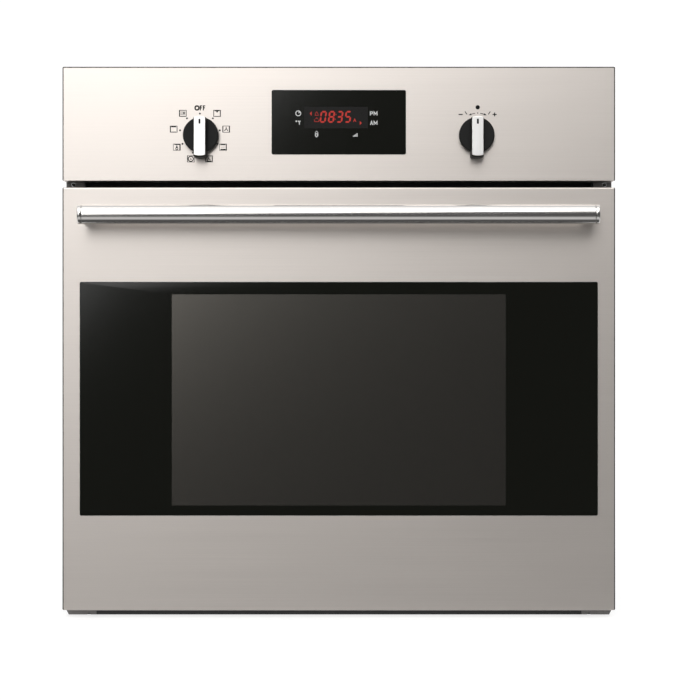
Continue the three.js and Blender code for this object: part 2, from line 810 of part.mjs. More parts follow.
function insulation() {
  const front = linerFront + linerWall + fitGap;
  const outerX = wrapInnerX + insulationWall;
  const outer = block(
    [-outerX, outerX], [front, wrapBack], [wrapInnerFloor - insulationWall, wrapTop]);
  const inside = block(
    [-wrapInnerX, wrapInnerX], [front - 1, linerBack + fitGap], [wrapInnerFloor, wrapInnerTop]);
  const y = [linerBack, wrapBack + 1];
  const holes = [
    rodY(motorRadius + 2 * fitGap, 0, y, fanZ, 24),
    rodY(lampRadius + 8, lampX, y, lampZ, 24),
    rodY(probeRadius + 3, probeX, y, lampZ),
    block(around(0, 2 * grillLegX + heaterPlate), y, around(grillZ, heaterPlate)),
    block(around(0, 2 * ringLegSpread + heaterPlate), y, around(ringLegZ, heaterPlate)),
    block(around(0, 2 * bakeLegX + heaterPlate), y, [wrapInnerFloor, wrapInnerFloor + bakeSpace]),
  ];
  return cut(outer, [inside, ...holes]);
}

function doorGasket() {
  const width = cavityWidth + 2 * gasketInset;
  const height = cavityHeight + 2 * gasketInset;
  const y = [plugRear + fitGap, faceFront];
  const ring = uprightPlate(
    roundedShape(width + 2 * gasketWidth, height + 2 * gasketWidth, gasketCorner + gasketWidth),
    y, 0, cavityCenterZ);
  const mouth = uprightPlate(
    roundedShape(width, height, gasketCorner), [y[0] - 1, y[1] + 1], 0, cavityCenterZ);
  return cut(ring, [mouth]);
}

// A heater's rod in a level plane: up one side, in, round a middle loop, and back, mirrored.
function heaterLoop(z, legX, innerX, outerX, front, back, tail) {
  const half = [
    point(legX, tail, z), point(legX, back, z), point(outerX, back, z), point(outerX, front, z),
    point(innerX, front, z), point(innerX, back - heaterStep, z),
  ];
  const mirrored = half.map((corner) => point(-corner.x, corner.y, corner.z)).reverse();
  return bentBar([...half, ...mirrored], heaterBend, heaterRadius, 62);
}

function heaters() {
  const tail = linerBack + heaterTail;
  const plateY = [cavityBack - fitGap - 2, cavityBack - fitGap];
  piece('bake_element', heaterLoop(
    cavityFloor - linerWall - fitGap - heaterRadius, bakeLegX, bakeInnerX,
    cavityWidth / 2 - bakeSideInset, linerFront + bakeFrontInset, cavityBack - bakeRearInset, tail,
  ), materials.heaterSteel);
  const grill = heaterLoop(
    grillZ, grillLegX, grillInnerX, cavityWidth / 2 - grillSideInset,
    linerFront + grillFrontInset, baffleFront - grillRearInset, tail);
  const grillPlate = block(
    around(0, 2 * grillLegX + heaterPlate), plateY, around(grillZ, heaterPlate));
  piece('grill_element', join([grill, grillPlate]), materials.heaterSteel);
  const ringY = (baffleFront + cavityBack) / 2;
  const torus = new THREE.TorusGeometry(ringRadius, heaterRadius, 6, 28);
  torus.rotateX(Math.PI / 2);
  torus.translate(0, ringY, fanZ);
  const parts = [toSolid(torus)];
  for (const side of [-1, 1]) {
    const x = side * ringLegSpread;
    parts.push(rodY(heaterRadius, x, [ringY, tail], ringLegZ, 8));
    parts.push(rodZ(heaterRadius, x, ringY, [fanZ + ringRadius - heaterRadius, ringLegZ], 8));
  }
  parts.push(block(
    around(0, 2 * ringLegSpread + heaterPlate), plateY, around(ringLegZ, heaterPlate)));
  piece('ring_element', join(parts), materials.heaterSteel);
}

function convection() {
  const back = cavityBack - fanBackGap;
  const disc = rodY(fanRadius, 0, [back - fanPlate, back], fanZ, 32);
  const hub = rodY(fanHubRadius, 0, [back - fanDepth, back], fanZ);
  const shaft = rodY(fanShaftRadius, 0, [back - fanDepth - 4, linerBack + motorLength / 2], fanZ);
  const blades = [];
  for (let i = 0; i < fanBlades; i += 1) {
    const blade = new THREE.BoxGeometry(fanRadius - fanEyeRadius, fanDepth, fanPlate);
    blade.translate((fanRadius + fanEyeRadius) / 2, back - fanDepth / 2, 0);
    blade.rotateY((i * Math.PI * 2) / fanBlades);
    blade.translate(0, 0, fanZ);
    blades.push(toSolid(blade));
  }
  piece('convection_fan', join([disc, hub, shaft, ...blades]), materials.aluminium);
  const motorFront = linerBack;
  const body = rodY(motorRadius, 0, [motorFront, motorFront + motorLength], fanZ, 28);
  const bore = rodY(
    fanShaftRadius + fitGap, 0, [motorFront - 1, linerBack + motorLength / 2 + fitGap], fanZ);
  piece('convection_motor', cut(body, [bore]), materials.galvanised);

  const pan = uprightPlate(
    roundedShape(baffleWidth, baffleHeight, baffleCorner), [baffleFront, cavityBack], 0, fanZ);
  const hollow = uprightPlate(
    roundedShape(baffleWidth - 2 * sheetWall, baffleHeight - 2 * sheetWall, baffleCorner - sheetWall),
    [baffleFront + sheetWall, cavityBack + 1], 0, fanZ);
  const slots = [];
  for (let i = 0; i < baffleSlots; i += 1) {
    const slot = new THREE.BoxGeometry(baffleSlotLength, 4 * sheetWall, baffleSlotWidth);
    slot.translate(baffleSlotStart + baffleSlotLength / 2, baffleFront, 0);
    slot.rotateY((i * Math.PI * 2) / baffleSlots);
    slot.translate(0, 0, fanZ);
    slots.push(toSolid(slot));
  }
  for (const side of [-1, 1]) {
    for (let row = -3; row <= 3; row += 1) {
      slots.push(block(
        sideSpan(side, baffleWidth / 2 - 2 * sheetWall, baffleWidth / 2 + 1),
        [baffleFront + baffleSideInset, cavityBack - baffleSideInset],
        around(fanZ + row * baffleSidePitch, baffleSideSlot)));
    }
  }
  piece('fan_baffle', cut(pan, [hollow, ...slots]), materials.blackEnamel);
}

function lampAndProbe() {
  const housing = rodY(lampRadius, lampX, [cavityBack, linerBack + lampDepth], lampZ, 24);
  const collar = rodY(lampRadius + 5, lampX, [linerBack + fitGap, linerBack + fitGap + 2], lampZ, 24);
  piece('lamp_housing', join([housing, collar]), materials.whiteCeramic);
  const rim = rodY(
    lampRadius + 3, lampX, [cavityBack - fitGap - 4, cavityBack - fitGap], lampZ, 24);
  const dome = rodY(lampRadius, lampX, [cavityBack - lensDepth, cavityBack - 3], lampZ, 24);
  piece('lamp_lens', join([rim, dome]), materials.clearGlass);
  const probe = rodY(probeRadius, probeX, [cavityBack - probeLength, linerBack + probeTail], lampZ);
  const plate = rodY(probePlateRadius, probeX, [cavityBack - fitGap - 1.5, cavityBack - fitGap], lampZ);
  piece('temperature_probe', join([probe, plate]), materials.chromeWire);
}

const railZ = (level) => cavityFloor + railFloorRise + level * railPitch;

function rackSupport(side) {
  const wires = [];
  for (const y of [rackFront + rackPostInset, rackBack - rackPostInset]) {
    wires.push(rodZ(
      railWire, side * postX, y, [cavityFloor + rackFootRise, railZ(railCount - 1) + 2 * railPairRise], 8));
    for (const z of [cavityFloor + 2 * rackFootRise, railZ(railCount - 1) + 1.5 * railPairRise]) {
      wires.push(rodX(railWire - 0.5, sideSpan(side, postX, cavityWidth / 2 - fitGap), y, z, 6));
    }
  }
  for (let level = 0; level < railCount; level += 1) {
    for (const rise of [0, railPairRise]) {
      wires.push(rodY(railWire, side * railX, [rackFront, rackBack], railZ(level) + rise, 6));
    }
  }
  return join(wires);
}

function wireShelf() {
  const z = railZ(shelfLevel) + railPairRise / 2;
  const sideRailX = postX - railWire - shelfEdgeWire - 2 * fitGap;
  const y = [slideBack - shelfDepth, slideBack];
  const rods = [];
  for (const side of [-1, 1]) {
    rods.push(rodY(shelfEdgeWire, side * sideRailX, y, z, 6));
  }
  for (const at of [y[0] + shelfEdgeWire, (y[0] + y[1]) / 2, y[1] - shelfEdgeWire]) {
    rods.push(rodX(shelfEdgeWire, [-sideRailX, sideRailX], at, z, 6));
  }
  for (let i = 0; i < shelfWires; i += 1) {
    const x = (i - (shelfWires - 1) / 2) * ((2 * sideRailX) / (shelfWires + 1));
    rods.push(rodY(shelfWire, x, [y[0] + shelfEdgeWire, y[1] - shelfEdgeWire], z + shelfEdgeWire, 4));
  }
  return join(rods);
}

function bakingTray() {
  const rimZ = railZ(trayLevel) + railWire + fitGap;
  const outerX = postX - railWire - 2 * fitGap;
  const y = [slideBack - trayDepth, slideBack];
  const floorZ = rimZ - trayHeight;
  const rim = block([-outerX, outerX], y, [rimZ, rimZ + sheetWall]);
  const bowl = block(
    [-outerX + trayRim, outerX - trayRim], [y[0] + trayRim, y[1] - trayRim],
    [floorZ, rimZ + sheetWall]);
  const hollow = block(
    [-outerX + trayRim + sheetWall, outerX - trayRim - sheetWall],
    [y[0] + trayRim + sheetWall, y[1] - trayRim - sheetWall],
    [floorZ + sheetWall, rimZ + 2 * sheetWall]);
  return cut(join([rim, bowl]), [hollow]);
}

// ---- Cooling air and services --------------------------------------------------------

function coolingAir() {
  const duct = block(
    around(0, ductWidth), [faceBack + fitGap, faceBack + ductDepth], [ductFloor, ductTop]);
  const channel = block(
    around(0, ductWidth - 2 * sheetWall), [faceBack - 1, faceBack + ductDepth - sheetWall],
    [ductFloor + sheetWall, ductTop - sheetWall]);
  const throat = block(
    around(blowerOffsetX, blowerWidth - 8 * sheetWall), around(blowerY, blowerDepth - 2 * throatInset),
    [ductTop - 2 * sheetWall, ductTop + 1]);
  piece('air_duct', cut(duct, [channel, throat]), materials.galvanised);

  const x = around(blowerOffsetX, blowerWidth);
  const shell = block(x, [blowerFront, blowerBack], [ductTop, ductTop + blowerHeight]);
  const hollow = block(
    [x[0] + sheetWall, x[1] - sheetWall], [blowerFront + sheetWall, blowerBack - sheetWall],
    [ductTop - 1, ductTop + blowerHeight - sheetWall]);
  const inlet = block(
    [x[0] + inletSideInset, x[1] - inletSideInset], [blowerFront + inletRim, blowerBack - inletRim],
    [ductTop + blowerHeight - 2 * sheetWall, ductTop + blowerHeight + 1]);
  const eye = rodX(fanShaftRadius + fitGap, [x[0] - 1, x[1] + 1], blowerY, blowerZ);
  piece('cooling_fan_housing', cut(shell, [hollow, inlet, eye]), materials.galvanised);

  const rotorX = [x[0] + 8, x[1] - 8];
  const discs = [
    rodX(blowerRadius, [rotorX[0], rotorX[0] + 2], blowerY, blowerZ, 24),
    rodX(blowerRadius, [rotorX[1] - 2, rotorX[1]], blowerY, blowerZ, 24),
  ];
  const axle = rodX(
    fanShaftRadius, [x[0] - 4, x[1] + blowerMotorLength / 2], blowerY, blowerZ, 12);
  const blades = [];
  for (let i = 0; i < blowerBlades; i += 1) {
    const blade = new THREE.BoxGeometry(rotorX[1] - rotorX[0], 1, 9);
    blade.translate((rotorX[0] + rotorX[1]) / 2, 0, blowerRadius - 6);
    blade.rotateX((i * Math.PI * 2) / blowerBlades);
    blade.translate(0, blowerY, blowerZ);
    blades.push(toSolid(blade));
  }
  piece('cooling_fan_rotor', join([...discs, axle, ...blades]), materials.aluminium);
  const motor = rodX(blowerMotorRadius, [x[1], x[1] + blowerMotorLength], blowerY, blowerZ, 24);
  const bore = rodX(
    fanShaftRadius + fitGap, [x[1] - 1, x[1] + blowerMotorLength / 2 + fitGap], blowerY, blowerZ, 16);
  piece('cooling_fan_motor', cut(motor, [bore]), materials.blackPlastic);
}

function services() {
  const boardX = [boardOffsetX, boardOffsetX + boardWidth];
  const boardY = [faceBack + boardFrontInset, faceBack + boardFrontInset + boardDepth];
  const boardBase = ductTop + standoffHeight;
  const plate = block(boardX, boardY, [boardBase, boardBase + boardThickness]);
  const legs = [];
  for (const x of [boardX[0] + standoffSize, boardX[1] - standoffSize]) {
    for (const y of [boardY[0] + standoffSize, boardY[1] - standoffSize]) {
      legs.push(block(
        around(x, standoffSize), around(y, standoffSize),
        [ductTop, boardBase + boardThickness / 2]));
    }
  }
  const transformer = block(
    around(boardX[1] - transformerSize, transformerSize),
    around((boardY[0] + boardY[1]) / 2, transformerSize),
    [boardBase + boardThickness / 2, boardBase + transformerSize]);
  piece('control_board', join([plate, transformer, ...legs]), materials.greenBoard);
  const inner = caseBack - sheetWall;
  piece('terminal_block', block(
    around(serviceX, terminalWidth), [inner - terminalDepth, inner],
    [ductTop, ductTop + terminalHeight]), materials.blackPlastic);
  const glandZ = ductTop + terminalHeight + 2 * glandRadius;
  const barrel = rodY(glandRadius, serviceX, [inner - 10, caseBack + glandReach], glandZ, 24);
  const flange = rodY(glandRadius + 5, serviceX, [caseBack, caseBack + 5], glandZ, 6);
  const bore = rodY(glandBore, serviceX, [inner - 11, caseBack + glandReach + 1], glandZ, 24);
  piece('conduit_gland', cut(join([barrel, flange]), [bore]), materials.blackPlastic);
}

// ---- Assembly ------------------------------------------------------------------------

piece('control_fascia', controlFascia(), materials.brushedSteel);
displayPieces();
piece('selector_switch', switchBody(-knobSpread, switchSize, switchDepth), materials.blackPlastic);
piece('control_encoder', switchBody(knobSpread, encoderSize, encoderDepth), materials.blackPlastic);
knob('function_knob', -knobSpread);
knob('control_knob', knobSpread);

piece('door_skin', doorSkin(), materials.brushedSteel);
piece('door_glass_outer', uprightPlate(
  roundedShape(glassWidth, glassHeight, glassCorner),
  [facadeFront + glassSink, glassRear], 0, glassMiddleZ), materials.blackGlass);
piece('door_glass_middle', uprightPlate(
  roundedShape(
    plugWidth - 2 * sheetWall - 2 * fitGap, plugHeight - 2 * sheetWall - 2 * fitGap,
    plugCorner - sheetWall),
  [linerSeat, linerSeat + glassThickness], 0, plugMiddleZ), materials.clearGlass);
piece('door_glass_inner', uprightPlate(
  roundedShape(innerGlassWidth, innerGlassHeight, glassCorner),
  [plugRear - glassThickness, plugRear], 0, plugMiddleZ), materials.clearGlass);
piece('door_liner', doorLiner(), materials.blackEnamel);
piece('door_top_trim', doorTopTrim(), materials.blackPlastic);
handlePieces();
for (const [side, name] of bothSides) hingePieces(side, name);

piece('front_frame', frontFrame(), materials.greyFlange);
caseBox();
piece('cavity_liner', cavityLiner(), materials.blackEnamel);
piece('cavity_insulation', insulation(), materials.mineralWool);
piece('door_gasket', doorGasket(), materials.gasketBlack);
heaters();
convection();
lampAndProbe();
for (const [side, name] of bothSides) {
  piece(`rack_support_${name}`, rackSupport(side), materials.chromeWire);
}
piece('wire_shelf', wireShelf(), materials.chromeWire);
piece('baking_tray', bakingTray(), materials.greyEnamel);
coolingAir();
services();

oven.position.y = -originY;

export default oven;
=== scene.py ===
"""Looks of a built-in wall oven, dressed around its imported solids. Metres, +Z up, front to -Y."""

import json
import math
from itertools import product

import bmesh
import bpy
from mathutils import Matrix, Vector


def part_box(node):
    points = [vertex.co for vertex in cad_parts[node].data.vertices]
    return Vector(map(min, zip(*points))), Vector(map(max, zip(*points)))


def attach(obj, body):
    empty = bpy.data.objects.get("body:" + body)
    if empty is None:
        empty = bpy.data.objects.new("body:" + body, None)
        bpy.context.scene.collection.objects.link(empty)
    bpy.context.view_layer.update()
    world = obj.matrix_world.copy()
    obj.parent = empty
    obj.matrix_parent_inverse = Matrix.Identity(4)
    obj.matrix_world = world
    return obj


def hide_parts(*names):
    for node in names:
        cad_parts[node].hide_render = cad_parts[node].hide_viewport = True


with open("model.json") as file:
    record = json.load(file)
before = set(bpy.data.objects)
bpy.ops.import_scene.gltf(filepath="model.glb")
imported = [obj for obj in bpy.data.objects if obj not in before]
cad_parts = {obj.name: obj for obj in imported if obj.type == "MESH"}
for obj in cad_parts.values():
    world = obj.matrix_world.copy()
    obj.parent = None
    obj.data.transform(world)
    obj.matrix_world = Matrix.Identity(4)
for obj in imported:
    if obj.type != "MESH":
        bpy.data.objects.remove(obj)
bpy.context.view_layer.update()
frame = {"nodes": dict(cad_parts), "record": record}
NODES = frame["nodes"]

MM = 0.001
WHITE = (1.0, 1.0, 1.0, 1.0)
SIDES = ((-1, "left"), (1, "right"))
ALONG_X, ALONG_Y, ALONG_Z = (1.0, 0.0, 0.0), (0.0, 1.0, 0.0), (0.0, 0.0, 1.0)
TO_FRONT = (0.0, -1.0, 0.0)

# ---- Places read from the frame ----


def box(node):
    """A node's low and high corners."""
    return [Vector(corner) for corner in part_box(node)]


def low(node):
    return box(node)[0]


def high(node):
    return box(node)[1]


def span(node):
    return high(node) - low(node)


def centre(node):
    return (low(node) + high(node)) / 2


def mm(*values):
    return tuple(value * MM for value in values)


def bearing(radius, degrees):
    """How far right and up a point on a circle lies, in degrees clockwise from the top."""
    angle = math.radians(degrees)
    return radius * math.sin(angle), radius * math.cos(angle)


CASE_LOW, CASE_HIGH = box("base_panel")
FRONT_Y = low("door_skin").y

# ---- Material helpers ----


def scaled(colour, factor):
    return tuple(channel * factor for channel in colour)


class Tree:
    """The nodes of a material or a world, with short ways to add to them."""

    def __init__(self, owner):
        owner.use_nodes = True
        self.owner = owner
        self.tree = owner.node_tree

    def node(self, kind, **values):
        """A new node; each value is one of its settings or the input of that name."""
        made = self.tree.nodes.new(kind)
        for key, value in values.items():
            if key in made.bl_rna.properties:
                setattr(made, key, value)
            else:
                made.inputs[key.replace("_", " ")].default_value = value
        return made

    def link(self, source, target):
        self.tree.links.new(source, target)

    def math(self, operation, *values):
        """One operation over values in turn, each a number or another node's output."""
        result = values[0]
        for value in values[1:]:
            node = self.node("ShaderNodeMath", operation=operation)
            for socket, given in zip(node.inputs, (result, value)):
                if isinstance(given, float):
                    socket.default_value = given
                else:
                    self.link(given, socket)
            result = node.outputs[0]
        return result

    def ramp(self, value, start, end, first, last, shape="LINEAR"):
        """From first up to start, to last from end on."""
        ramp = self.node(
            "ShaderNodeMapRange", interpolation_type=shape, From_Min=start, From_Max=end,
            To_Min=first, To_Max=last)
        self.link(value, ramp.inputs["Value"])
        return ramp.outputs["Result"]

    def rays(self, *kinds):
        """One for a ray of any of the kinds, and nothing for others."""
        path = self.node("ShaderNodeLightPath")
        return self.math("MAXIMUM", *(path.outputs[f"Is {kind} Ray"] for kind in kinds))


class Surface(Tree):
    """A material with its shader, and procedural detail for it."""

    NOISE_LOW, NOISE_HIGH = 0.3, 0.7  # noise lies mostly between these

    def __init__(self, name, colour, roughness, metallic=0.0, **sockets):
        super().__init__(bpy.data.materials.new(name))
        self.shader = self.tree.nodes["Principled BSDF"]
        self.set(
            Base_Color=(*colour, 1.0), Roughness=roughness, Metallic=metallic, **sockets)

    def set(self, **sockets):
        for socket, value in sockets.items():
            self.shader.inputs[socket.replace("_", " ")].default_value = value

    def noise(self, waves, detail=4.0):
        """Noise over the piece's own coordinates, in waves per metre along x, y and z."""
        mapping = self.node("ShaderNodeMapping", Scale=waves)
        self.link(self.node("ShaderNodeTexCoord").outputs["Object"], mapping.inputs["Vector"])
        texture = self.node("ShaderNodeTexNoise", Scale=1.0, Detail=detail, Roughness=0.6)
        self.link(mapping.outputs["Vector"], texture.inputs["Vector"])
        return texture.outputs["Fac"]

    def stretch(self, noise, first, last):
        return self.ramp(noise, self.NOISE_LOW, self.NOISE_HIGH, first, last)

    def vary_colour(self, noise, colour, darkest, lightest):
        mix = self.node("ShaderNodeMix", data_type="RGBA")
        ends = [socket for socket in mix.inputs if socket.type == "RGBA"]
        for socket, factor in zip(ends, (darkest, lightest)):
            socket.default_value = (*scaled(colour, factor), 1.0)
        self.link(self.stretch(noise, 0.0, 1.0), mix.inputs["Factor"])
        result = [socket for socket in mix.outputs if socket.type == "RGBA"][0]
        self.link(result, self.shader.inputs["Base Color"])

    def vary_roughness(self, noise, smooth, rough):
        self.link(self.stretch(noise, smooth, rough), self.shader.inputs["Roughness"])

    def bump(self, noise, depth, strength):
        bump = self.node("ShaderNodeBump", Strength=strength, Distance=depth)
        self.link(noise, bump.inputs["Height"])
        self.link(bump.outputs["Normal"], self.shader.inputs["Normal"])


def brushed_metal(name, colour, roughness, waves, anisotropy, tangent):
    """Metal with fine brush lines, whose highlight spreads along the tangent."""
    surface = Surface(name, colour, roughness, 1.0, Anisotropic=anisotropy)
    lines = surface.noise(waves, detail=5.0)
    surface.vary_colour(lines, colour, 0.965, 1.03)
    surface.vary_roughness(lines, roughness - 0.04, roughness + 0.04)
    surface.bump(lines, 0.00002, 0.5)
    along = surface.node("ShaderNodeCombineXYZ", X=tangent[0], Y=tangent[1], Z=tangent[2])
    surface.link(along.outputs["Vector"], surface.shader.inputs["Tangent"])
    return surface.owner


def speckled(name, colour, roughness, grain, depth, contrast=0.15, metallic=0.0, **sockets):
    """A moulded, enamelled or coated surface with an even fine grain."""
    surface = Surface(name, colour, roughness, metallic, **sockets)
    dots = surface.noise((grain, grain, grain), detail=2.0)
    surface.vary_colour(dots, colour, 1 - contrast, 1 + contrast)
    surface.vary_roughness(dots, roughness * 0.88, roughness * 1.12)
    surface.bump(dots, depth, 0.6)
    return surface.owner


def clear_pane(name, colour):
    surface = Surface(name, colour, 0.03, IOR=1.5, Transmission_Weight=1.0)
    surface.vary_roughness(surface.noise((30.0, 30.0, 30.0)), 0.01, 0.05)
    return surface.owner


def glowing(name, colour):
    surface = Surface(name, scaled(colour, 0.1), 0.5, Specular_IOR_Level=0.1)
    surface.set(Emission_Color=(*colour, 1.0), Emission_Strength=1.0)
    surface.vary_colour(surface.noise((900.0, 900.0, 900.0)), colour, 0.08, 0.12)
    return surface.owner


# ---- Materials ----

# Colour, roughness, grain per metre, bump depth, contrast and metal of slots with a plain grain.
GRAINED = {
    "black_plastic": ((0.018, 0.018, 0.017), 0.42, 1500.0, 0.00001),
    "circuit_board": ((0.02, 0.13, 0.06), 0.35, 200.0, 0.00002),
    "galvanised_steel": ((0.46, 0.47, 0.48), 0.42, 120.0, 0.00002, 0.18, 1.0),
    "black_enamel": ((0.016, 0.016, 0.019), 0.24, 700.0, 0.00003, 0.5),
    "mineral_wool": ((0.55, 0.46, 0.26), 0.95, 260.0, 0.001, 0.25),
    "gasket": ((0.03, 0.03, 0.03), 0.8, 2500.0, 0.0001),
    "heater_sheath": ((0.10, 0.09, 0.085), 0.45, 150.0, 0.00002, 0.25, 0.9),
    "chrome_wire": ((0.60, 0.61, 0.63), 0.16, 60.0, 0.00001, 0.05, 1.0),
    "aluminium": ((0.62, 0.63, 0.64), 0.38, 200.0, 0.00002, 0.06, 1.0),
    "ceramic": ((0.74, 0.71, 0.64), 0.6, 500.0, 0.00004, 0.06),
}
# Each slot's material, for the solids and for pieces without their own.
MATERIAL_OF = {slot: speckled(slot, *row) for slot, row in GRAINED.items()} | {
    "brushed_steel": brushed_metal(
        "brushed_steel", (0.75, 0.694, 0.648), 0.36, (4.0, 4.0, 2100.0), 0.0, ALONG_Z),
    "handle_steel": brushed_metal(
        "handle_steel", (0.74, 0.72, 0.70), 0.15, (10.0, 900.0, 900.0), 0.2, ALONG_Z),
    "black_glass": speckled(
        "black_glass", (0.0060, 0.0064, 0.0044), 0.10, 400.0, 0.0, 0.03,
        Specular_IOR_Level=0.36),
    "clear_glass": clear_pane("clear_glass", (0.86, 0.93, 0.90)),
    "grey_frame": speckled(
        "grey_flange", (0.20, 0.195, 0.19), 0.5, 300.0, 0.00002, 0.08, 0.6),
}
# Painted shade: a dark matt material without reflection, laid on the steel folds that turn away
# from the front.
fold_painted_shade = speckled(
    "steel_fold", (0.085, 0.082, 0.079), 0.6, 500.0, 0.00001, 0.06, Specular_IOR_Level=0.0)
cap_steel = brushed_metal(
    "knob_cap_steel", (0.97, 0.955, 0.935), 0.34, (1100.0, 30.0, 30.0), 0.0, ALONG_X)
zinc = speckled("zinc_plate", (0.55, 0.56, 0.56), 0.3, 600.0, 0.00001, 0.1, 1.0)
black_face = speckled("black_face", (0.012, 0.012, 0.012), 0.45, 500.0, 0.00001)
knob_black = speckled(
    "knob_black", (0.006, 0.006, 0.0055), 0.5, 1500.0, 0.00001, Specular_IOR_Level=0.25)
ink = speckled(
    "panel_ink", (0.004, 0.004, 0.004), 0.6, 2000.0, 0.000002, Specular_IOR_Level=0.15)
white_ink = speckled("white_ink", (0.72, 0.73, 0.72), 0.5, 2000.0, 0.000002, 0.05)
window_glass = speckled("window_glass", (0.14, 0.132, 0.118), 0.20, 900.0, 0.0, 0.03, 1.0)
led_window = speckled(
    "led_window", (0.0135, 0.013, 0.0125), 0.30, 900.0, 0.0, 0.03, Specular_IOR_Level=0.12)
led_red = glowing("led_red", (0.47, 0.042, 0.033))

SLOT_OF = {row["node"]: row["material_slot"] for row in frame["record"]["subparts"]}
BODY_OF = {
    node: body for body, nodes in frame["record"]["behaviour"]["bodies"].items() for node in nodes}
for node, slot in SLOT_OF.items():
    NODES[node].data.materials.clear()
    NODES[node].data.materials.append(MATERIAL_OF[slot])

# ---- Mesh helpers ----

SHARP = math.radians(25)
WELD = 0.001 * MM
FLAT = math.radians(0.5)


def mesh_object(name, build, material):
    mesh = bpy.data.meshes.new(name)
    build.to_mesh(mesh)
    build.free()
    mesh.materials.append(material)
    made = bpy.data.objects.new(name, mesh)
    bpy.context.collection.objects.link(made)
    return made


def hand_over(made, body, replaces):
    """Hang a piece on the body it rides on, and hide the solids it stands in for."""
    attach(made, body)
    if replaces:
        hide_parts(*replaces)
    return made


def add_piece(name, build, body, slot, material=None, smooth_below=50, replaces=()):
    """Turn finished mesh code into a piece that rides on a body."""
    bmesh.ops.recalc_face_normals(build, faces=build.faces)
    made = mesh_object(name, build, material or MATERIAL_OF[slot])
    mesh = made.data
    mesh.polygons.foreach_set("use_smooth", [True] * len(mesh.polygons))
    mesh.set_sharp_from_angle(angle=math.radians(smooth_below))
    made.modifiers.new("even_shading", "WEIGHTED_NORMAL").keep_sharp = True
    return hand_over(made, body, replaces)


def stand_in(name, build, node, material=None, smooth_below=50):
    """A piece in place of a node, on the node's body, in its slot's material unless another is
    given.
    """
    return add_piece(
        name, build, BODY_OF[node], SLOT_OF[node], material, smooth_below, (node,))


def round_edges(build, width, segments, pick=lambda middle, edge: True, clamp=True):
    """Bevel the sharp edges whose middle is picked."""
    edges = [
        edge for edge in build.edges
        if edge.is_manifold and edge.calc_face_angle(0.0) > SHARP
        and pick((edge.verts[0].co + edge.verts[1].co) / 2, edge)]
    bmesh.ops.bevel(
        build, geom=edges, offset=width, segments=segments, profile=0.5, affect="EDGES",
        clamp_overlap=clamp)


def solid_of(node):
    """A node's solid as editable mesh, with its flat faces whole."""
    build = bmesh.new()
    build.from_mesh(NODES[node].data)
    bmesh.ops.remove_doubles(build, verts=build.verts, dist=WELD)
    bmesh.ops.dissolve_limit(build, angle_limit=FLAT, verts=build.verts, edges=build.edges)
    return build


def skin(rings, build=None, looped=False):
    """Faces round closed rings of equal count, looped to the first again or with ends closed."""
    build = build or bmesh.new()
    made = [[build.verts.new(point) for point in ring] for ring in rings]
    count = len(made[0])
    following = made[1:] + made[:1] if looped else made[1:]
    for near, far in zip(made, following):
        for i in range(count):
            j = (i + 1) % count
            build.faces.new((near[i], near[j], far[j], far[i]))
    if not looped:
        build.faces.new(list(reversed(made[0])))
        build.faces.new(made[-1])
    return build


def circle(x, z, radius, steps=28):
    return [
        (x + radius * math.cos(2 * math.pi * i / steps),
         z + radius * math.sin(2 * math.pi * i / steps)) for i in range(steps)]


def rounded_outline(width, height, radius, steps=8):
    """Points of a rounded rectangle about the origin, anticlockwise."""
    points = []
    for turn, (side_x, side_y) in enumerate(((1, -1), (1, 1), (-1, 1), (-1, -1))):
        cx = side_x * (width / 2 - radius)
        cy = side_y * (height / 2 - radius)
        for step in range(steps + 1):
            angle = math.radians(-90 + 90 * turn + 90 * step / steps)
            points.append((cx + radius * math.cos(angle), cy + radius * math.sin(angle)))
    return points


def round_over(radius, turns):
    """How far in and how far back each step of a rounded front edge lies, side to face."""
    angles = [math.radians(90 * turn / turns) for turn in range(turns + 1)]
    return [(radius * (1 - math.cos(a)), radius * (1 - math.sin(a))) for a in angles]


def upright(points, y, x=0.0, z=0.0):
    """Flat points set standing in the XZ plane."""
    return [Vector((x + px, y, z + pz)) for px, pz in points]


def add_box(build, corner_low, corner_high, edge=0.0):
    """A block with softened edges, added to a mesh."""
    made = bmesh.ops.create_cube(build, size=1.0)["verts"]
    size = Vector(corner_high) - Vector(corner_low)
    middle = (Vector(corner_high) + Vector(corner_low)) / 2
    bmesh.ops.scale(build, vec=size, verts=made)
    bmesh.ops.translate(build, vec=middle, verts=made)
    if edge:
        edges = {joined for vert in made for joined in vert.link_edges}
        bmesh.ops.bevel(
            build, geom=list(edges), offset=edge, segments=2, profile=0.5, affect="EDGES")


def turned(profile, place, axis, steps=18, build=None):
    """A turned solid from (radius, height) millimetres along an axis."""
    place, axis = Vector(place), Vector(axis).normalized()
    side = axis.orthogonal().normalized()
    other = axis.cross(side)
    return skin([
        [place + axis * height * MM + radius * MM * (
            side * math.cos(2 * math.pi * step / steps)
            + other * math.sin(2 * math.pi * step / steps)) for step in range(steps)]
        for radius, height in profile], build)


def rods(name, paths, radius, body, slot, replaces=(), sides=4):
    """Round bars along lists of points, as one piece."""
    data = bpy.data.curves.new(name, "CURVE")
    data.dimensions = "3D"
    data.bevel_depth = radius
    data.bevel_resolution = sides
    data.use_fill_caps = True
    for path in paths:
        spline = data.splines.new("POLY")
        spline.points.add(len(path) - 1)
        for target, place in zip(spline.points, path):
            target.co = (*place, 1.0)
    data.materials.append(MATERIAL_OF[slot])
    made = bpy.data.objects.new(name, data)
    bpy.context.collection.objects.link(made)
    return hand_over(made, body, replaces)


def bars_for(name, paths, radius, node):
    """Round bars in place of a node."""
    return rods(name, paths, radius, BODY_OF[node], SLOT_OF[node], (node,))


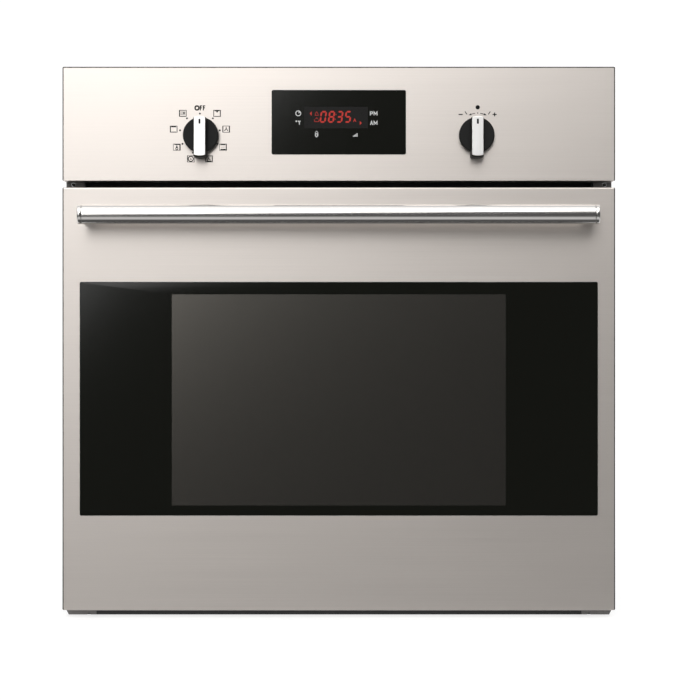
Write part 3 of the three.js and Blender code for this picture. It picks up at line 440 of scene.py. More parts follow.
def rounded_path(corners, radius, steps=8):
    """A path through corners, each turned on an arc."""
    points = [Vector(corners[0])]
    for before, corner, after in zip(corners, corners[1:], corners[2:]):
        before, corner, after = Vector(before), Vector(corner), Vector(after)
        start = corner + (before - corner).normalized() * radius
        end = corner + (after - corner).normalized() * radius
        for step in range(steps + 1):
            t = step / steps
            points.append(
                start * (1 - t) ** 2 + corner * 2 * t * (1 - t) + end * t ** 2)
    points.append(Vector(corners[-1]))
    return points


# ---- Flat marks ----

# Letters as lines over a square from -1 to 1; only the O's line closes on itself.
GLYPHS = {
    "O": [[
        (0.5, -1), (1, -0.5), (1, 0.5), (0.5, 1), (-0.5, 1), (-1, 0.5), (-1, -0.5),
        (-0.5, -1)]],
    "F": [[(-1, -1.2), (-1, 1), (1.1, 1)], [(-0.7, 0.05), (0.8, 0.05)]],
    "T": [[(-1.1, 1), (1.1, 1)], [(0, 0.75), (0, -1.15)]],
    "A": [[(-1, -1.15), (0, 1), (1, -1.15)], [(-0.45, -0.35), (0.45, -0.35)]],
    "M": [[(-1, -1.15), (-1, 1), (0, -0.4), (1, 1), (1, -1.15)]],
    "P": [[
        (-1, -1.15), (-1, 1), (0.6, 1), (1, 0.6), (1, 0.3), (0.6, -0.1), (-0.75, -0.1)]],
}


class Print:
    """Thin marks, in millimetres about an origin, a hair proud of an upright surface."""

    THICKNESS = 0.04 * MM
    MITRE_LIMIT = 0.35

    def __init__(self, surface_y, origin_x, origin_z):
        self.build = bmesh.new()
        self.surface_y = surface_y
        self.origin = (origin_x, origin_z)

    def _corner(self, x, z, raised):
        """A place on the mark's raised face, or on the surface behind it."""
        x0, z0 = self.origin
        return Vector((x0 + x * MM, self.surface_y - self.THICKNESS * raised, z0 + z * MM))

    def fill(self, points):
        """A filled outline."""
        skin([[self._corner(x, z, raised) for x, z in points] for raised in (1, 0)], self.build)

    def stroke(self, points, width, closed=False):
        """A line of one width with mitred corners."""
        spots = [Vector(point) for point in points]
        legs = [
            (after - spot).normalized() for spot, after in zip(spots, spots[1:] + spots[:1])]
        sections = []
        for i, spot in enumerate(spots):
            into = legs[i - 1] if i > 0 or closed else legs[0]
            out = legs[i] if i < len(spots) - 1 or closed else into
            along = (into + out).normalized()
            side = Vector((-along.y, along.x))
            side *= width / 2 / max(side.dot(Vector((-into.y, into.x))), self.MITRE_LIMIT)
            left, right = spot + side, spot - side
            sections.append([
                self._corner(*left, 1), self._corner(*right, 1),
                self._corner(*right, 0), self._corner(*left, 0)])
        skin(sections, self.build, looped=closed)

    def disc(self, x, z, radius, steps=28):
        self.fill(circle(x, z, radius, steps))

    def ring(self, x, z, radius, width, steps=28):
        self.stroke(circle(x, z, radius, steps), width, closed=True)

    def box(self, x, z, width, height):
        w, h = width / 2, height / 2
        self.fill([(x - w, z - h), (x + w, z - h), (x + w, z + h), (x - w, z + h)])

    def letter(self, glyph, x, z, width, height, stroke):
        """A letter drawn with its middle at x, z."""
        inner_w, inner_h = width - stroke, height - stroke
        for line in GLYPHS[glyph]:
            spots = [(x + px * inner_w / 2, z + pz * inner_h / 2) for px, pz in line]
            self.stroke(spots, stroke, closed=glyph == "O")

    def piece(self, name, material, body="case", slot="black_plastic"):
        add_piece(name, self.build, body, slot, material, smooth_below=20)


# ---- Stage ----

CAMERA_DISTANCE = 1.85
VIEW_WIDTH = 0.7531
VIEW_X, VIEW_Z = 0.01205, 0.288
SENSOR = 36.0

camera_data = bpy.data.cameras.new("camera")
camera_data.sensor_width = SENSOR
camera_data.lens = SENSOR * CAMERA_DISTANCE / VIEW_WIDTH
camera = bpy.data.objects.new("camera", camera_data)
bpy.context.collection.objects.link(camera)
camera.location = (VIEW_X, FRONT_Y - CAMERA_DISTANCE, VIEW_Z)
camera.rotation_euler = (math.radians(90), 0, 0)
scene = bpy.context.scene
scene.camera = camera
scene.view_settings.view_transform = "Standard"

FLOOR_Z = -0.2 * MM
FLOOR_REACH = 4.0
FLOOR_LIFT = 0.70


def pale_ground():
    """Matt pale ground: seen, mirrored or through glass it is lifted to white, but for shadow."""
    surface = Surface("pale_floor", (0.34, 0.34, 0.34), 0.9, Emission_Color=WHITE)
    glow = surface.math(
        "MULTIPLY", surface.rays("Camera", "Glossy", "Transmission"), FLOOR_LIFT)
    surface.link(glow, surface.shader.inputs["Emission Strength"])
    return surface.owner


def lay_floor():
    """A thin floor that ends just ahead of the door, so the open door hangs past its edge."""
    build = bmesh.new()
    add_box(
        build, (-FLOOR_REACH, FRONT_Y - 12 * MM, FLOOR_Z - MM),
        (FLOOR_REACH, FLOOR_REACH, FLOOR_Z))
    mesh_object("floor", build, pale_ground())


class Sky(Tree):
    """Light from a world by direction."""

    def __init__(self, name):
        super().__init__(bpy.data.worlds.new(name))
        self.direction = self.node("ShaderNodeTexCoord").outputs["Generated"]

    def along(self, *axis):
        """How far a direction points along an axis, from -1 to 1."""
        dot = self.node("ShaderNodeVectorMath", operation="DOT_PRODUCT")
        dot.inputs[1].default_value = axis
        self.link(self.direction, dot.inputs[0])
        return dot.outputs["Value"]

    def grow(self, value, start, end, strength=1.0):
        """Nothing up to start, growing smoothly to the strength at end."""
        return self.ramp(value, start, end, 0.0, strength, "SMOOTHSTEP")


def studio_world():
    """White behind the object; before it a tall soft light high on the left, and dark beside."""
    sky = Sky("studio")
    right, rear, up = sky.along(*ALONG_X), sky.along(*ALONG_Y), sky.along(*ALONG_Z)
    down, ahead = sky.along(0.0, 0.0, -1.0), sky.along(*TO_FRONT)
    tilt = math.radians(35.6)
    across = sky.along(-math.cos(tilt), 0.0, math.sin(tilt))
    lengthwise = sky.along(math.sin(tilt), 0.0, math.cos(tilt))
    middle, curve, ambient = 0.222, 0.334, 0.09
    bow = sky.math("POWER", sky.math("SUBTRACT", lengthwise, middle), 2.0)
    reach = sky.math("SUBTRACT", across, sky.math("MULTIPLY", bow, curve))
    inner_edge = sky.grow(reach, 0.10, 0.15, 2.95)
    outer_edge = sky.grow(right, -0.40, -0.18)
    in_front = sky.grow(ahead, 0.0, 0.1)
    top_edge = sky.grow(down, -0.9, -0.72)
    soft_light = sky.math("MULTIPLY", inner_edge, outer_edge, in_front, top_edge)
    ceiling = sky.grow(up, 0.238, 0.318, 0.8)
    ground_light = sky.math(
        "MULTIPLY", sky.grow(down, 0.20, 0.34, 0.55), in_front, sky.grow(up, -0.78, -0.6))
    backdrop = sky.grow(rear, 0.5, 0.95)
    light = sky.math("ADD", soft_light, ceiling, ground_light, backdrop, ambient)
    background = sky.tree.nodes["Background"]
    background.inputs["Color"].default_value = WHITE
    seen = sky.math("MAXIMUM", sky.rays("Camera", "Transmission"), light)
    sky.link(seen, background.inputs["Strength"])
    scene.world = sky.owner


lay_floor()
studio_world()

# ---- Steel front ----

FOLD = 1.4 * MM  # how wide the rounded folds are
CORNER = 1.5 * MM  # how far from the sides the lower fold is left as it is
RIM = 1.6 * MM  # edges nearer the outline than this run round the front face
CREASE = 0.25  # the share of the lower fold's height that is kept
FLUSH = 0.05 * MM
SLACK = 0.02 * MM
SQUARE, TURNED = 0.02, 0.05  # normals below and above these stand square, and turn away


def margin(place, box_low, box_high):
    """How far inside a box's sides a place lies, and how far inside its top and bottom."""
    return [
        min(place[axis] - box_low[axis], box_high[axis] - place[axis]) for axis in (0, 2)]


def tight_lower_fold(build, box_low, box_high):
    """Draws the fold along the bottom edge together, as a crease that the front hardly shows."""
    for vert in build.verts:
        beside = margin(vert.co, box_low, box_high)[0]
        above = vert.co.z - box_low.z
        if above < FOLD + SLACK and beside > CORNER - FLUSH:
            if vert.co.y < box_low.y + FOLD + SLACK:
                vert.co.z = box_low.z + CREASE * above


def folded_front(node, name, painted_shade_on_top):
    """Sheet steel with rounded folds, with painted shade: a dark matt material on the fold faces
    that turn away from the front.
    """
    box_low, box_high = box(node)

    def on_front_rim(middle, edge):
        flush = all(abs(vert.co.y - box_low.y) < FLUSH for vert in edge.verts)
        return flush and min(margin(middle, box_low, box_high)) < RIM

    build = solid_of(node)
    round_edges(build, FOLD, 6, on_front_rim, clamp=False)
    tight_lower_fold(build, box_low, box_high)
    build.normal_update()
    for face in build.faces:
        middle, normal = face.calc_center_median(), face.normal
        if middle.y > box_low.y + FOLD or abs(normal.y) < SQUARE:
            continue
        beside = margin(middle, box_low, box_high)[0] < FOLD
        above = painted_shade_on_top and box_high.z - middle.z < FOLD
        if max(abs(normal.x), painted_shade_on_top * normal.z) > TURNED and (beside or above):
            # Painted shade on this turned-away fold face.
            face.material_index = 1
    stand_in(name, build, node).data.materials.append(fold_painted_shade)


# The panel gets painted shade on its top fold too; the door gets it only on its side folds.
folded_front("control_fascia", "control_panel", 1)
folded_front("door_skin", "door_front", 0)

# ---- Handle ----

BAR_LOW, BAR_HIGH = box("handle_bar")
BAR_SIZE, BAR_MIDDLE = span("handle_bar"), centre("handle_bar")
BAR_FULLNESS = 2.25
BAR_STEPS = 56
BAR_CHAMFER = 0.35 * MM


def bar_ring(x, inset=0.0):
    """The handle's section at one place along it: a full upright oval."""
    points = []
    for step in range(BAR_STEPS):
        angle = 2 * math.pi * step / BAR_STEPS
        across, up = (
            math.copysign(abs(part) ** (2 / BAR_FULLNESS), part)
            for part in (math.cos(angle), math.sin(angle)))
        points.append(Vector((
            x, BAR_MIDDLE.y + (BAR_SIZE.y / 2 - inset) * across,
            BAR_MIDDLE.z + (BAR_SIZE.z / 2 - inset) * up)))
    return points


def handle_bar():
    reach = 0.05 * MM
    start, end = BAR_LOW.x - reach, BAR_HIGH.x + reach
    stand_in("handle_grip_bar", skin([
        bar_ring(start, BAR_CHAMFER), bar_ring(start + BAR_CHAMFER),
        bar_ring(end - BAR_CHAMFER), bar_ring(end, BAR_CHAMFER)]), "handle_bar")


def handle_foot(side, name):
    node = f"handle_end_{name}"
    node_low, node_high = box(node)
    leg_inner, outer = (node_low.x, node_high.x) if side > 0 else (node_high.x, node_low.x)
    seam, rounding, half = 0.4 * MM, 1.3 * MM, 8 * MM
    inner = (BAR_HIGH.x if side > 0 else BAR_LOW.x) + side * seam
    rings = [bar_ring(inner, BAR_CHAMFER), bar_ring(inner + side * BAR_CHAMFER)]
    rings += [bar_ring(outer - side * back, inset) for inset, back in round_over(rounding, 4)]
    build = skin(rings)
    leg_z = centre(node).z
    for end, front, edge in (
            (outer - side * rounding, BAR_MIDDLE.y, 0.4 * MM),
            (leg_inner, BAR_HIGH.y + 0.3 * MM, 0.6 * MM)):
        add_box(
            build, (min(inner, end), front, leg_z - half),
            (max(inner, end), node_high.y, leg_z + half), edge)
    stand_in(f"handle_foot_{name}", build, node)


handle_bar()
for side_row in SIDES:
    handle_foot(*side_row)

# ---- Knobs ----

SKIRT_DEPTH = 7 * MM
SKIRT_ROUND = 1.2 * MM
GRIP_END_ROUND = 17 * MM
CAP_INSET = 0.5 * MM
CAP_BEVEL = 0.4 * MM
CAP_GAP = 0.9 * MM
POINTER_DROP = 5.6


def grip_outline(width, top, bottom, steps=10):
    """The grip's outline: straight sides and gently arched ends, about the knob's axis."""
    half = width / 2
    sag = GRIP_END_ROUND - math.sqrt(GRIP_END_ROUND ** 2 - half ** 2)
    points = []
    for end, sign in ((bottom, -1), (top, 1)):
        for step in range(steps + 1):
            px = -half + width * step / steps
            rise = math.sqrt(GRIP_END_ROUND ** 2 - px ** 2) - GRIP_END_ROUND + sag
            points.append((px * -sign, sign * (abs(end) - sag + rise)))
    return points


def knob(prefix):
    body, cap = f"{prefix}_body", f"{prefix}_cap"
    axis = centre(f"{prefix}_shaft")
    cap_low, cap_high = box(cap)

    def grip(sections, width, top, bottom, build=None):
        """The grip's outline at each (y, inset), skinned."""
        return skin([
            upright(grip_outline(width - 2 * inset, top - inset, bottom + inset), y,
                    axis.x, axis.z)
            for y, inset in sections], build)

    radius, rear = span(body).x / 2, high(body).y
    profile = [(radius - SKIRT_ROUND, rear), (radius, rear - 0.8 * MM)] + [
        (radius - inset, rear - SKIRT_DEPTH + back)
        for inset, back in round_over(SKIRT_ROUND, 5)]
    build = skin([upright(circle(axis.x, axis.z, across, 64), y) for across, y in profile])
    width, top = cap_high.x - cap_low.x, cap_high.z - axis.z
    grip(
        ((rear, 0.0), (cap_high.y + 0.6 * MM, 0.3 * MM), (cap_high.y + SLACK, 0.75 * MM)),
        width + 2 * CAP_INSET, top + CAP_INSET, low(body).z - axis.z, build)
    stand_in(f"{prefix}_grip", build, body, knob_black, 40)
    face = grip(
        ((cap_high.y, 0.0), (cap_low.y + CAP_BEVEL, 0.0),
         (cap_low.y + 0.3 * CAP_BEVEL, 0.3 * CAP_BEVEL), (cap_low.y, CAP_BEVEL)),
        width - CAP_GAP, top, cap_low.z - axis.z)
    stand_in(f"{prefix}_face", face, cap, cap_steel, 40)
    pointer = Print(cap_low.y + SLACK, axis.x, axis.z)
    pointer.fill([
        (px / MM, pz / MM + top / MM - POINTER_DROP)
        for px, pz in rounded_outline(2.1 * MM, 5.3 * MM, 0.6 * MM, 4)])
    pointer.piece(f"{prefix}_pointer", ink, BODY_OF[cap])


knob("function_knob")
knob("control_knob")

# ---- Panel print ----

PRINT_SPREAD = 1.4 * MM
PRINT_RISE = 2.1 * MM
DOT_RING = 21.7
ICON_RING = 28.7
ICON_STEP = 40
ICON_WIDTH = 8.1
ICON_HEIGHT = 7.3
LINE = 0.8
FINE = 0.5
BOLD = 1.2


def oven_icon(art, turn, top, bottom, left, right, middle=0.0):
    """An oven pictogram's outline, each side with its own weight; says where its middle is."""
    x, z = bearing(ICON_RING, ICON_STEP * turn)
    for sign, weight in ((1, top), (-1, bottom)):
        edge = ICON_HEIGHT / 2 - FINE
        art.box(x, z + sign * (edge + FINE / 2), ICON_WIDTH, FINE)
        if weight:
            art.box(x, z + sign * (edge - weight / 2 + 0.02), ICON_WIDTH - 2.6, weight)
    for sign, weight in ((-1, left), (1, right)):
        art.box(x + sign * (ICON_WIDTH - weight) / 2, z, weight, ICON_HEIGHT)
    if middle:
        art.box(x, z, ICON_WIDTH - 3.4, middle)
    return x, z


def fan_lines(art, x, z, size, weight=0.8):
    """Three fan blades: one up and two spread below, with round tips."""
    art.fill([
        (x - weight * 0.35, z + size), (x - weight * 0.75, z), (x + weight * 0.75, z),
        (x + weight * 0.35, z + size)])
    for side in (-1, 1):
        tip = (x + side * 0.72 * size, z - 0.8 * size)
        art.stroke([(x + side * 0.1, z + 0.2), tip], weight)
        art.disc(*tip, weight * 0.62, 12)


def function_icons(art):
    """The eight oven functions round the left knob, clockwise from the top."""
    x, z = oven_icon(art, 1, LINE, 0.3, LINE, 1.0)
    art.fill([(x - 1.5, z + 3.0), (x + 1.5, z + 3.0), (x + 0.3, z + 0.9), (x - 0.3, z + 0.9)])
    x, z = oven_icon(art, 2, 0.0, 0.1, 1.0, BOLD)
    fan_lines(art, x, z + 0.3, 2.2)
    oven_icon(art, 3, 1.0, BOLD, FINE, 1.0, middle=0.25)
    x, z = oven_icon(art, 4, 0.5, BOLD, 1.0, 1.0)
    fan_lines(art, x - 0.3, z + 0.3, 2.0, 0.9)
    x, z = oven_icon(art, 5, 0.0, 0.0, LINE, FINE)
    art.ring(x, z, 2.75, 1.05)
    fan_lines(art, x, z, 1.0, 0.6)
    x, z = oven_icon(art, 6, LINE, 0.1, FINE, 1.25)
    art.fill([(x - 0.35, z + 1.9), (x + 0.35, z + 1.9), (x + 1.1, z - 0.7), (x - 1.1, z - 0.7)])
    art.ring(x, z - 1.7, 1.15, 0.75, 18)
    oven_icon(art, 7, BOLD, 0.5, 1.1, 0.8)
    x, z = oven_icon(art, 8, 0.3, FINE, 1.15, LINE)
    for row in (-1.1, 0.3, 1.6):
        art.stroke([(x - 2.6, z + row), (x + 2.6, z + row)], FINE)
    art.box(x + 1.3, z + 0.3, 1.7, 1.7)


def left_knob_print():
    axis = centre("function_knob_shaft")
    art = Print(FRONT_Y, axis.x - PRINT_SPREAD, axis.z + PRINT_RISE)
    for turn in range(9):
        art.disc(*bearing(DOT_RING, ICON_STEP * turn), 1.0)
    art.letter("O", -3.15, ICON_RING - 0.9, 5.5, 5.6, 1.5)
    for x in (1.35, 4.65):
        art.letter("F", x, ICON_RING - 0.9, 3.1, 5.6, 1.2)
    function_icons(art)
    art.piece("function_marks", ink)


def right_knob_print():
    """A round mark at the top, two turning arrows, and a minus and a plus."""
    axis = centre("control_knob_shaft")
    art = Print(FRONT_Y, axis.x + PRINT_SPREAD, axis.z + PRINT_RISE)
    art.disc(0, ICON_RING - 0.2, 2.3, 40)
    art.disc(0, DOT_RING + 0.6, 0.6)
    radius, barb = DOT_RING + 0.5, 1.1
    for side in (-1, 1):
        art.stroke([bearing(radius, side * a) for a in (7, 10, 13, 16, 19)], 0.7)
        art.fill([
            bearing(radius, side * 26), bearing(radius + barb, side * 18),
            bearing(radius - barb, side * 18)])
        art.stroke([(side * 13.6, 24.0), (side * 11.5, 20.9)], 0.85)
    sign_x, sign_z, thin, long = 18.2, 20.8, 0.55, 2.2
    art.box(-18.3, sign_z, 4.5, 1.2)
    art.fill([
        (sign_x + px, sign_z + pz) for px, pz in (
            (-thin, -2.1), (thin, -2.1), (thin, -thin), (long, -thin), (long, thin),
            (thin, thin), (thin, 2.1), (-thin, 2.1), (-thin, thin), (-long, thin),
            (-long, -thin), (-thin, -thin))])
    art.piece("control_marks", ink)


left_knob_print()
right_knob_print()

# ---- Clock ----

DIGIT_SLANT = 0.14
DIGIT_PITCH = 8.9
DIGIT_WIDTH = 5.0
DIGIT_HEIGHT = 11.0
DIGITS_X = -0.4
SEGMENT = 1.75
SEGMENT_GAP = 0.25
SEGMENTS_OF = {"0": "abcdef", "8": "abcdefg", "3": "abcdg", "5": "acdfg"}


def digit(art, figure, x, z):
    """A slanted seven-segment figure with its middle at x, z."""
    w, h = DIGIT_WIDTH / 2, DIGIT_HEIGHT / 2
    ends = {
        "a": ((-w, h), (w, h)), "b": ((w, h), (w, 0)), "c": ((w, 0), (w, -h)),
        "d": ((-w, -h), (w, -h)), "e": ((-w, -h), (-w, 0)), "f": ((-w, 0), (-w, h)),
        "g": ((-w, 0), (w, 0)),
    }
    for name in SEGMENTS_OF[figure]:
        start, end = (Vector(point) for point in ends[name])
        along = (end - start).normalized()
        side = Vector((-along.y, along.x)) * SEGMENT / 2
        start, end = start + along * SEGMENT_GAP, end - along * SEGMENT_GAP
        corner = along * SEGMENT / 2
        outline = [
            start, start + corner - side, end - corner - side, end,
            end - corner + side, start + corner + side]
        art.fill([
            (x + spot.x + DIGIT_SLANT * spot.y, z + spot.y) for spot in outline])


def clock_digits(surface, module):
    """The time, with the marks that light up beside it."""
    red = Print(surface - Print.THICKNESS, module.x, module.z + 0.8 * MM)
    for place, figure in zip((-1.5, -0.5, 0.5, 1.5), "0835"):
        digit(red, figure, DIGITS_X + place * DIGIT_PITCH, 0)
    red.disc(0.0, 2.4, 0.55, 16)
    red.disc(-0.9, -2.6, 0.55, 16)
    red.fill([(-28.2, 3.5), (-26.2, 5.9), (-26.2, 1.1)])
    red.fill([(27.6, -6.6), (25.6, -4.4), (25.6, -8.8)])
    bell = [(-22.6, 1.6), (-21.7, 4.4), (-20.8, 5.4), (-19.9, 4.4), (-19.0, 1.6)]
    red.stroke(bell, 0.4, closed=True)
    red.stroke([(-23.4, -2.8), (-22.8, -5.2), (-18.8, -5.2), (-18.2, -2.8)], 0.45)
    red.stroke([(-22.2, -2.4), (-20.8, -0.9), (-19.4, -2.4)], 0.4)
    red.letter("A", 20.1, -3.6, 3.4, 3.6, 0.6)
    red.piece("clock_digits", led_red)


def clock_marks(surface, module):
    """White marks beside the window and along its lower edge."""
    white = Print(surface, module.x, module.z)
    white.ring(-40.6, 4.6, 2.65, 1.0)
    wedge = [bearing(2.3, a) for a in range(6, 90, 14)]
    white.fill([(-40.4, 4.8)] + [(-40.6 + px, 4.6 + pz) for px, pz in wedge])
    white.disc(-42.6, -3.9, 0.95, 16)
    white.letter("T", -39.4, -5.6, 3.6, 4.4, 1.1)
    for word, z in (("PM", 4.4), ("AM", -5.7)):
        white.letter(word[0], 38.2, z, 3.4, 4.6, 0.95)
        white.letter(word[1], 42.5, z, 4.2, 4.6, 0.95)
    white.stroke([
        (-22.3, -17.6), (-22.3, -15.9), (-20.9, -14.7), (-19.5, -15.9), (-19.5, -17.6)], 0.6)
    white.stroke([
        (-22.1, -17.4), (-19.7, -17.4), (-19.7, -19.7), (-20.9, -20.7), (-22.1, -19.7)], 1.1,
        closed=True)
    for bar in range(4):
        tall = 1.2 + 0.85 * bar
        white.box(18.6 + 1.35 * bar, -20.6 + tall / 2, 0.95, tall)
    white.piece("clock_marks", white_ink, slot="ceramic")


def clock():
    """A glass plate with a rounded front edge, set back for the window and digits on it."""
    glass_low, glass_high = box("display_glass")
    size, middle, module = span("display_glass"), centre("display_glass"), centre("display_module")
    surface = glass_low.y + 2 * Print.THICKNESS
    corner, edge, point = 1.6 * MM, 0.35 * MM, 0.05 * MM
    stand_in("clock_glass", skin(
        [upright(rounded_outline(size.x, size.z, corner), glass_high.y, middle.x, middle.z)] + [
            upright(
                rounded_outline(
                    size.x - 2 * inset, size.z - 2 * inset, max(corner - inset, point)),
                surface + back, middle.x, middle.z)
            for inset, back in round_over(edge, 4)]), "display_glass")
    window = Print(surface, module.x, module.z)
    window.box(0, 0, 68.4, 23.0)
    window.piece("clock_window", led_window)
    clock_digits(surface, module)
    clock_marks(surface, module)


clock()

# ---- Door glass ----

WINDOW_WIDTH = 359.3 * MM
WINDOW_HEIGHT = 227.1 * MM
WINDOW_CORNER = 1.0 * MM
WINDOW_RISE = -1.2 * MM
WINDOW_FIT = 0.01 * MM


def outer_pane():
    """The outer glass: a black-printed border round a tinted window, in one plane."""
    pane_low, pane_high = box("door_glass_outer")
    middle, size = centre("door_glass_outer"), span("door_glass_outer")
    front, back, edge = pane_low.y, pane_high.y, 0.3 * MM

    def mouth(y, fit=0.0):
        outline = rounded_outline(
            WINDOW_WIDTH - 2 * fit, WINDOW_HEIGHT - 2 * fit, WINDOW_CORNER)
        return upright(outline, y, middle.x, middle.z + WINDOW_RISE)

    def rim(y, inset, corner):
        outline = rounded_outline(size.x - 2 * inset, size.z - 2 * inset, corner)
        return upright(outline, y, middle.x, middle.z)

    border = skin([
        mouth(front), rim(front, edge, 1.3 * MM), rim(front + edge, 0.0, 1.5 * MM),
        rim(back, 0.0, 1.5 * MM), mouth(back)], looped=True)
    stand_in("door_glass_border", border, "door_glass_outer")
    stand_in("door_window", skin([mouth(back, WINDOW_FIT), mouth(front, WINDOW_FIT)]),
             "door_glass_outer", window_glass)


outer_pane()

# ---- Front frame ----


def front_frame():
    """The grey flange that meets the cabinet, and the black face set back behind it."""
    flange = 1.2 * MM
    build = solid_of("front_frame")
    face_y = low("front_frame").y
    for face in build.faces:
        behind = max(vert.co.y for vert in face.verts) > face_y + flange + 0.1 * MM
        face.material_index = 1 if behind else 0
    round_edges(build, 0.25 * MM, 2)
    stand_in("front_frame_pressed", build, "front_frame").data.materials.append(black_face)
    strip, half = bmesh.new(), 264 * MM
    add_box(
        strip, (-half, face_y - 0.3 * MM, 0.3 * MM), (half, face_y + 0.2 * MM, 4.2 * MM),
        0.1 * MM)
    add_piece("lower_seal_strip", strip, "case", "grey_frame", black_face)


front_frame()

# ---- Sheet parts and housings that keep their solid's form ----

# The width in millimetres by which each one's edges are softened.
EDGE_OF = {
    "side_panel_left": 0.25, "side_panel_right": 0.25, "base_panel": 0.3, "top_cover": 0.3,
    "back_panel": 0.25, "air_duct": 0.3, "cooling_fan_housing": 0.4, "cavity_liner": 0.3,
    "cavity_insulation": 3.5, "fan_baffle": 0.3, "door_liner": 0.3, "door_top_trim": 0.35,
    "hinge_channel_left": 0.3, "hinge_channel_right": 0.3, "hinge_arm_left": 0.35,
    "hinge_arm_right": 0.35, "door_glass_middle": 0.35, "door_glass_inner": 0.35,
    "display_module": 0.5, "display_board": 0.15, "selector_switch": 0.5,
    "control_encoder": 0.5, "control_board": 0.3, "terminal_block": 0.8, "conduit_gland": 0.5,
    "convection_motor": 0.8, "cooling_fan_motor": 0.8, "cooling_fan_rotor": 0.12,
    "convection_fan": 0.2, "lamp_housing": 0.6, "door_gasket": 1.7,
}
for soft_node, soft_width in EDGE_OF.items():
    soft_build = solid_of(soft_node)
    round_edges(soft_build, soft_width * MM, 3 if soft_width > 1 else 2)
    stand_in(f"{soft_node}_finished", soft_build, soft_node)

# ---- Screws ----

# Heads as (radius, height) millimetres, each with a recess at its middle.
PAN_HEAD = (
    (3.6, -0.1), (3.6, 0.4), (3.3, 0.9), (2.5, 1.3), (1.5, 1.45), (1.35, 0.6), (0.15, 0.6))
FLAT_HEAD = ((3.0, -0.1), (3.0, 0.3), (2.7, 0.6), (1.4, 0.75), (1.25, 0.3), (0.15, 0.3))
SMALL_HEAD = ((2.0, -0.1), (2.0, 0.3), (1.7, 0.6), (1.0, 0.7), (0.9, 0.2), (0.15, 0.2))


def screws(name, spots, axis, body="case", slot="galvanised_steel", material=zinc,
           head=PAN_HEAD):
    build = bmesh.new()
    for spot in spots:
        turned(head, spot, axis, build=build)
    add_piece(name, build, body, slot, material, smooth_below=35)


def case_screws():
    side_z, rear = mm(30, 290, 545), (CASE_HIGH.y,)
    side_y = (CASE_LOW.y + 14 * MM, CASE_HIGH.y - 14 * MM)
    rear_x = CASE_HIGH.x - 12 * MM
    for side, name in SIDES:
        spots = product((side * CASE_HIGH.x,), side_y, side_z)
        screws(f"side_screws_{name}", spots, (side, 0, 0))
    screws("back_screws", [
        *product((-rear_x, rear_x), rear, side_z),
        *product(mm(-90, 90), rear, mm(14, 562))], ALONG_Y)
    spots = product((-rear_x, rear_x, 0), side_y, (high("top_cover").z,))
    screws("cover_screws", spots, ALONG_Z)
    hole = (high("front_frame").x - 7.6 * MM, low("front_frame").y + 1.0 * MM,
            high("door_skin").z + 5 * MM)
    for side, name in SIDES:
        screws(f"fixing_screw_{name}", [(side * hole[0], *hole[1:])], TO_FRONT,
               slot="grey_frame", material=black_face, head=SMALL_HEAD)


def door_screws():
    spots = product(mm(-285, 285), (low("door_liner").y + 1.2 * MM,), mm(120, 260, 400))
    screws("door_liner_screws", spots, ALONG_Y, "door", head=FLAT_HEAD)
    (x, y, z), (far_x, _, far_z) = box("fan_baffle")
    inset = 13 * MM
    spots = product((x + inset, far_x - inset), (y,), (z + inset, far_z - inset))
    screws("baffle_screws", spots, TO_FRONT, slot="chrome_wire", material=None)


case_screws()
door_screws()

# ---- Louvre hoods on the case ----

LOUVRE_ROWS = 6
LOUVRE_LENGTH = 90 * MM
LOUVRE_PITCH = 14 * MM
LOUVRE_DROP = 40 * MM
LOUVRE_REAR = 117 * MM
SLOT_RISE = 2 * MM
HOOD_LIP, HOOD_REACH, HOOD_FULLNESS = 0.15, 3.6, 8
HOOD_HEIGHT, HOOD_WALL = 6 * MM, 0.8 * MM
HOOD_STEPS, HOOD_SECTIONS = 7, 12


def hood_section(along):
    """The hood's section part of the way along it, as (out from the panel, up) points."""
    swell = math.sqrt(max(0.0, 1 - (2 * along - 1) ** HOOD_FULLNESS))
    reach = (HOOD_LIP + HOOD_REACH * swell) * MM
    arc = [math.radians(90 * i / HOOD_STEPS) for i in range(HOOD_STEPS + 1)]
    outer = [(reach * math.cos(a), HOOD_HEIGHT * math.sin(a)) for a in arc]
    inner = [
        (max(reach - HOOD_WALL, 0.05 * MM) * math.cos(a),
         (HOOD_HEIGHT - HOOD_WALL) * math.sin(a)) for a in reversed(arc)]
    return outer + inner


def louvre_hoods(side, name):
    """A pressed hood over each louvre slot of a side panel."""
    build = bmesh.new()
    back = CASE_HIGH.y - LOUVRE_REAR
    for row in range(LOUVRE_ROWS):
        slot_z = high("top_cover").z - LOUVRE_DROP - row * LOUVRE_PITCH + SLOT_RISE
        rings = []
        for step in range(HOOD_SECTIONS + 1):
            along = step / HOOD_SECTIONS
            y = back - LOUVRE_LENGTH * along
            rings.append([
                Vector((side * CASE_HIGH.x + side * out, y, slot_z + up))
                for out, up in hood_section(along)])
        skin(rings, build)
    add_piece(f"louvre_hoods_{name}", build, "case", "galvanised_steel")


for side_row in SIDES:
    louvre_hoods(*side_row)

# ---- Racks, shelf and tray ----

RAIL_FIRST = 28 * MM
RAIL_PITCH = 60 * MM
RAIL_PAIR = 11.6 * MM
RAIL_LEVELS = 5
RACK_WIRE = 3 * MM
POST_INSET = 20 * MM
SHELF_EDGE = 2.5 * MM
SHELF_WIRE = 2 * MM
SHELF_BARS = 19


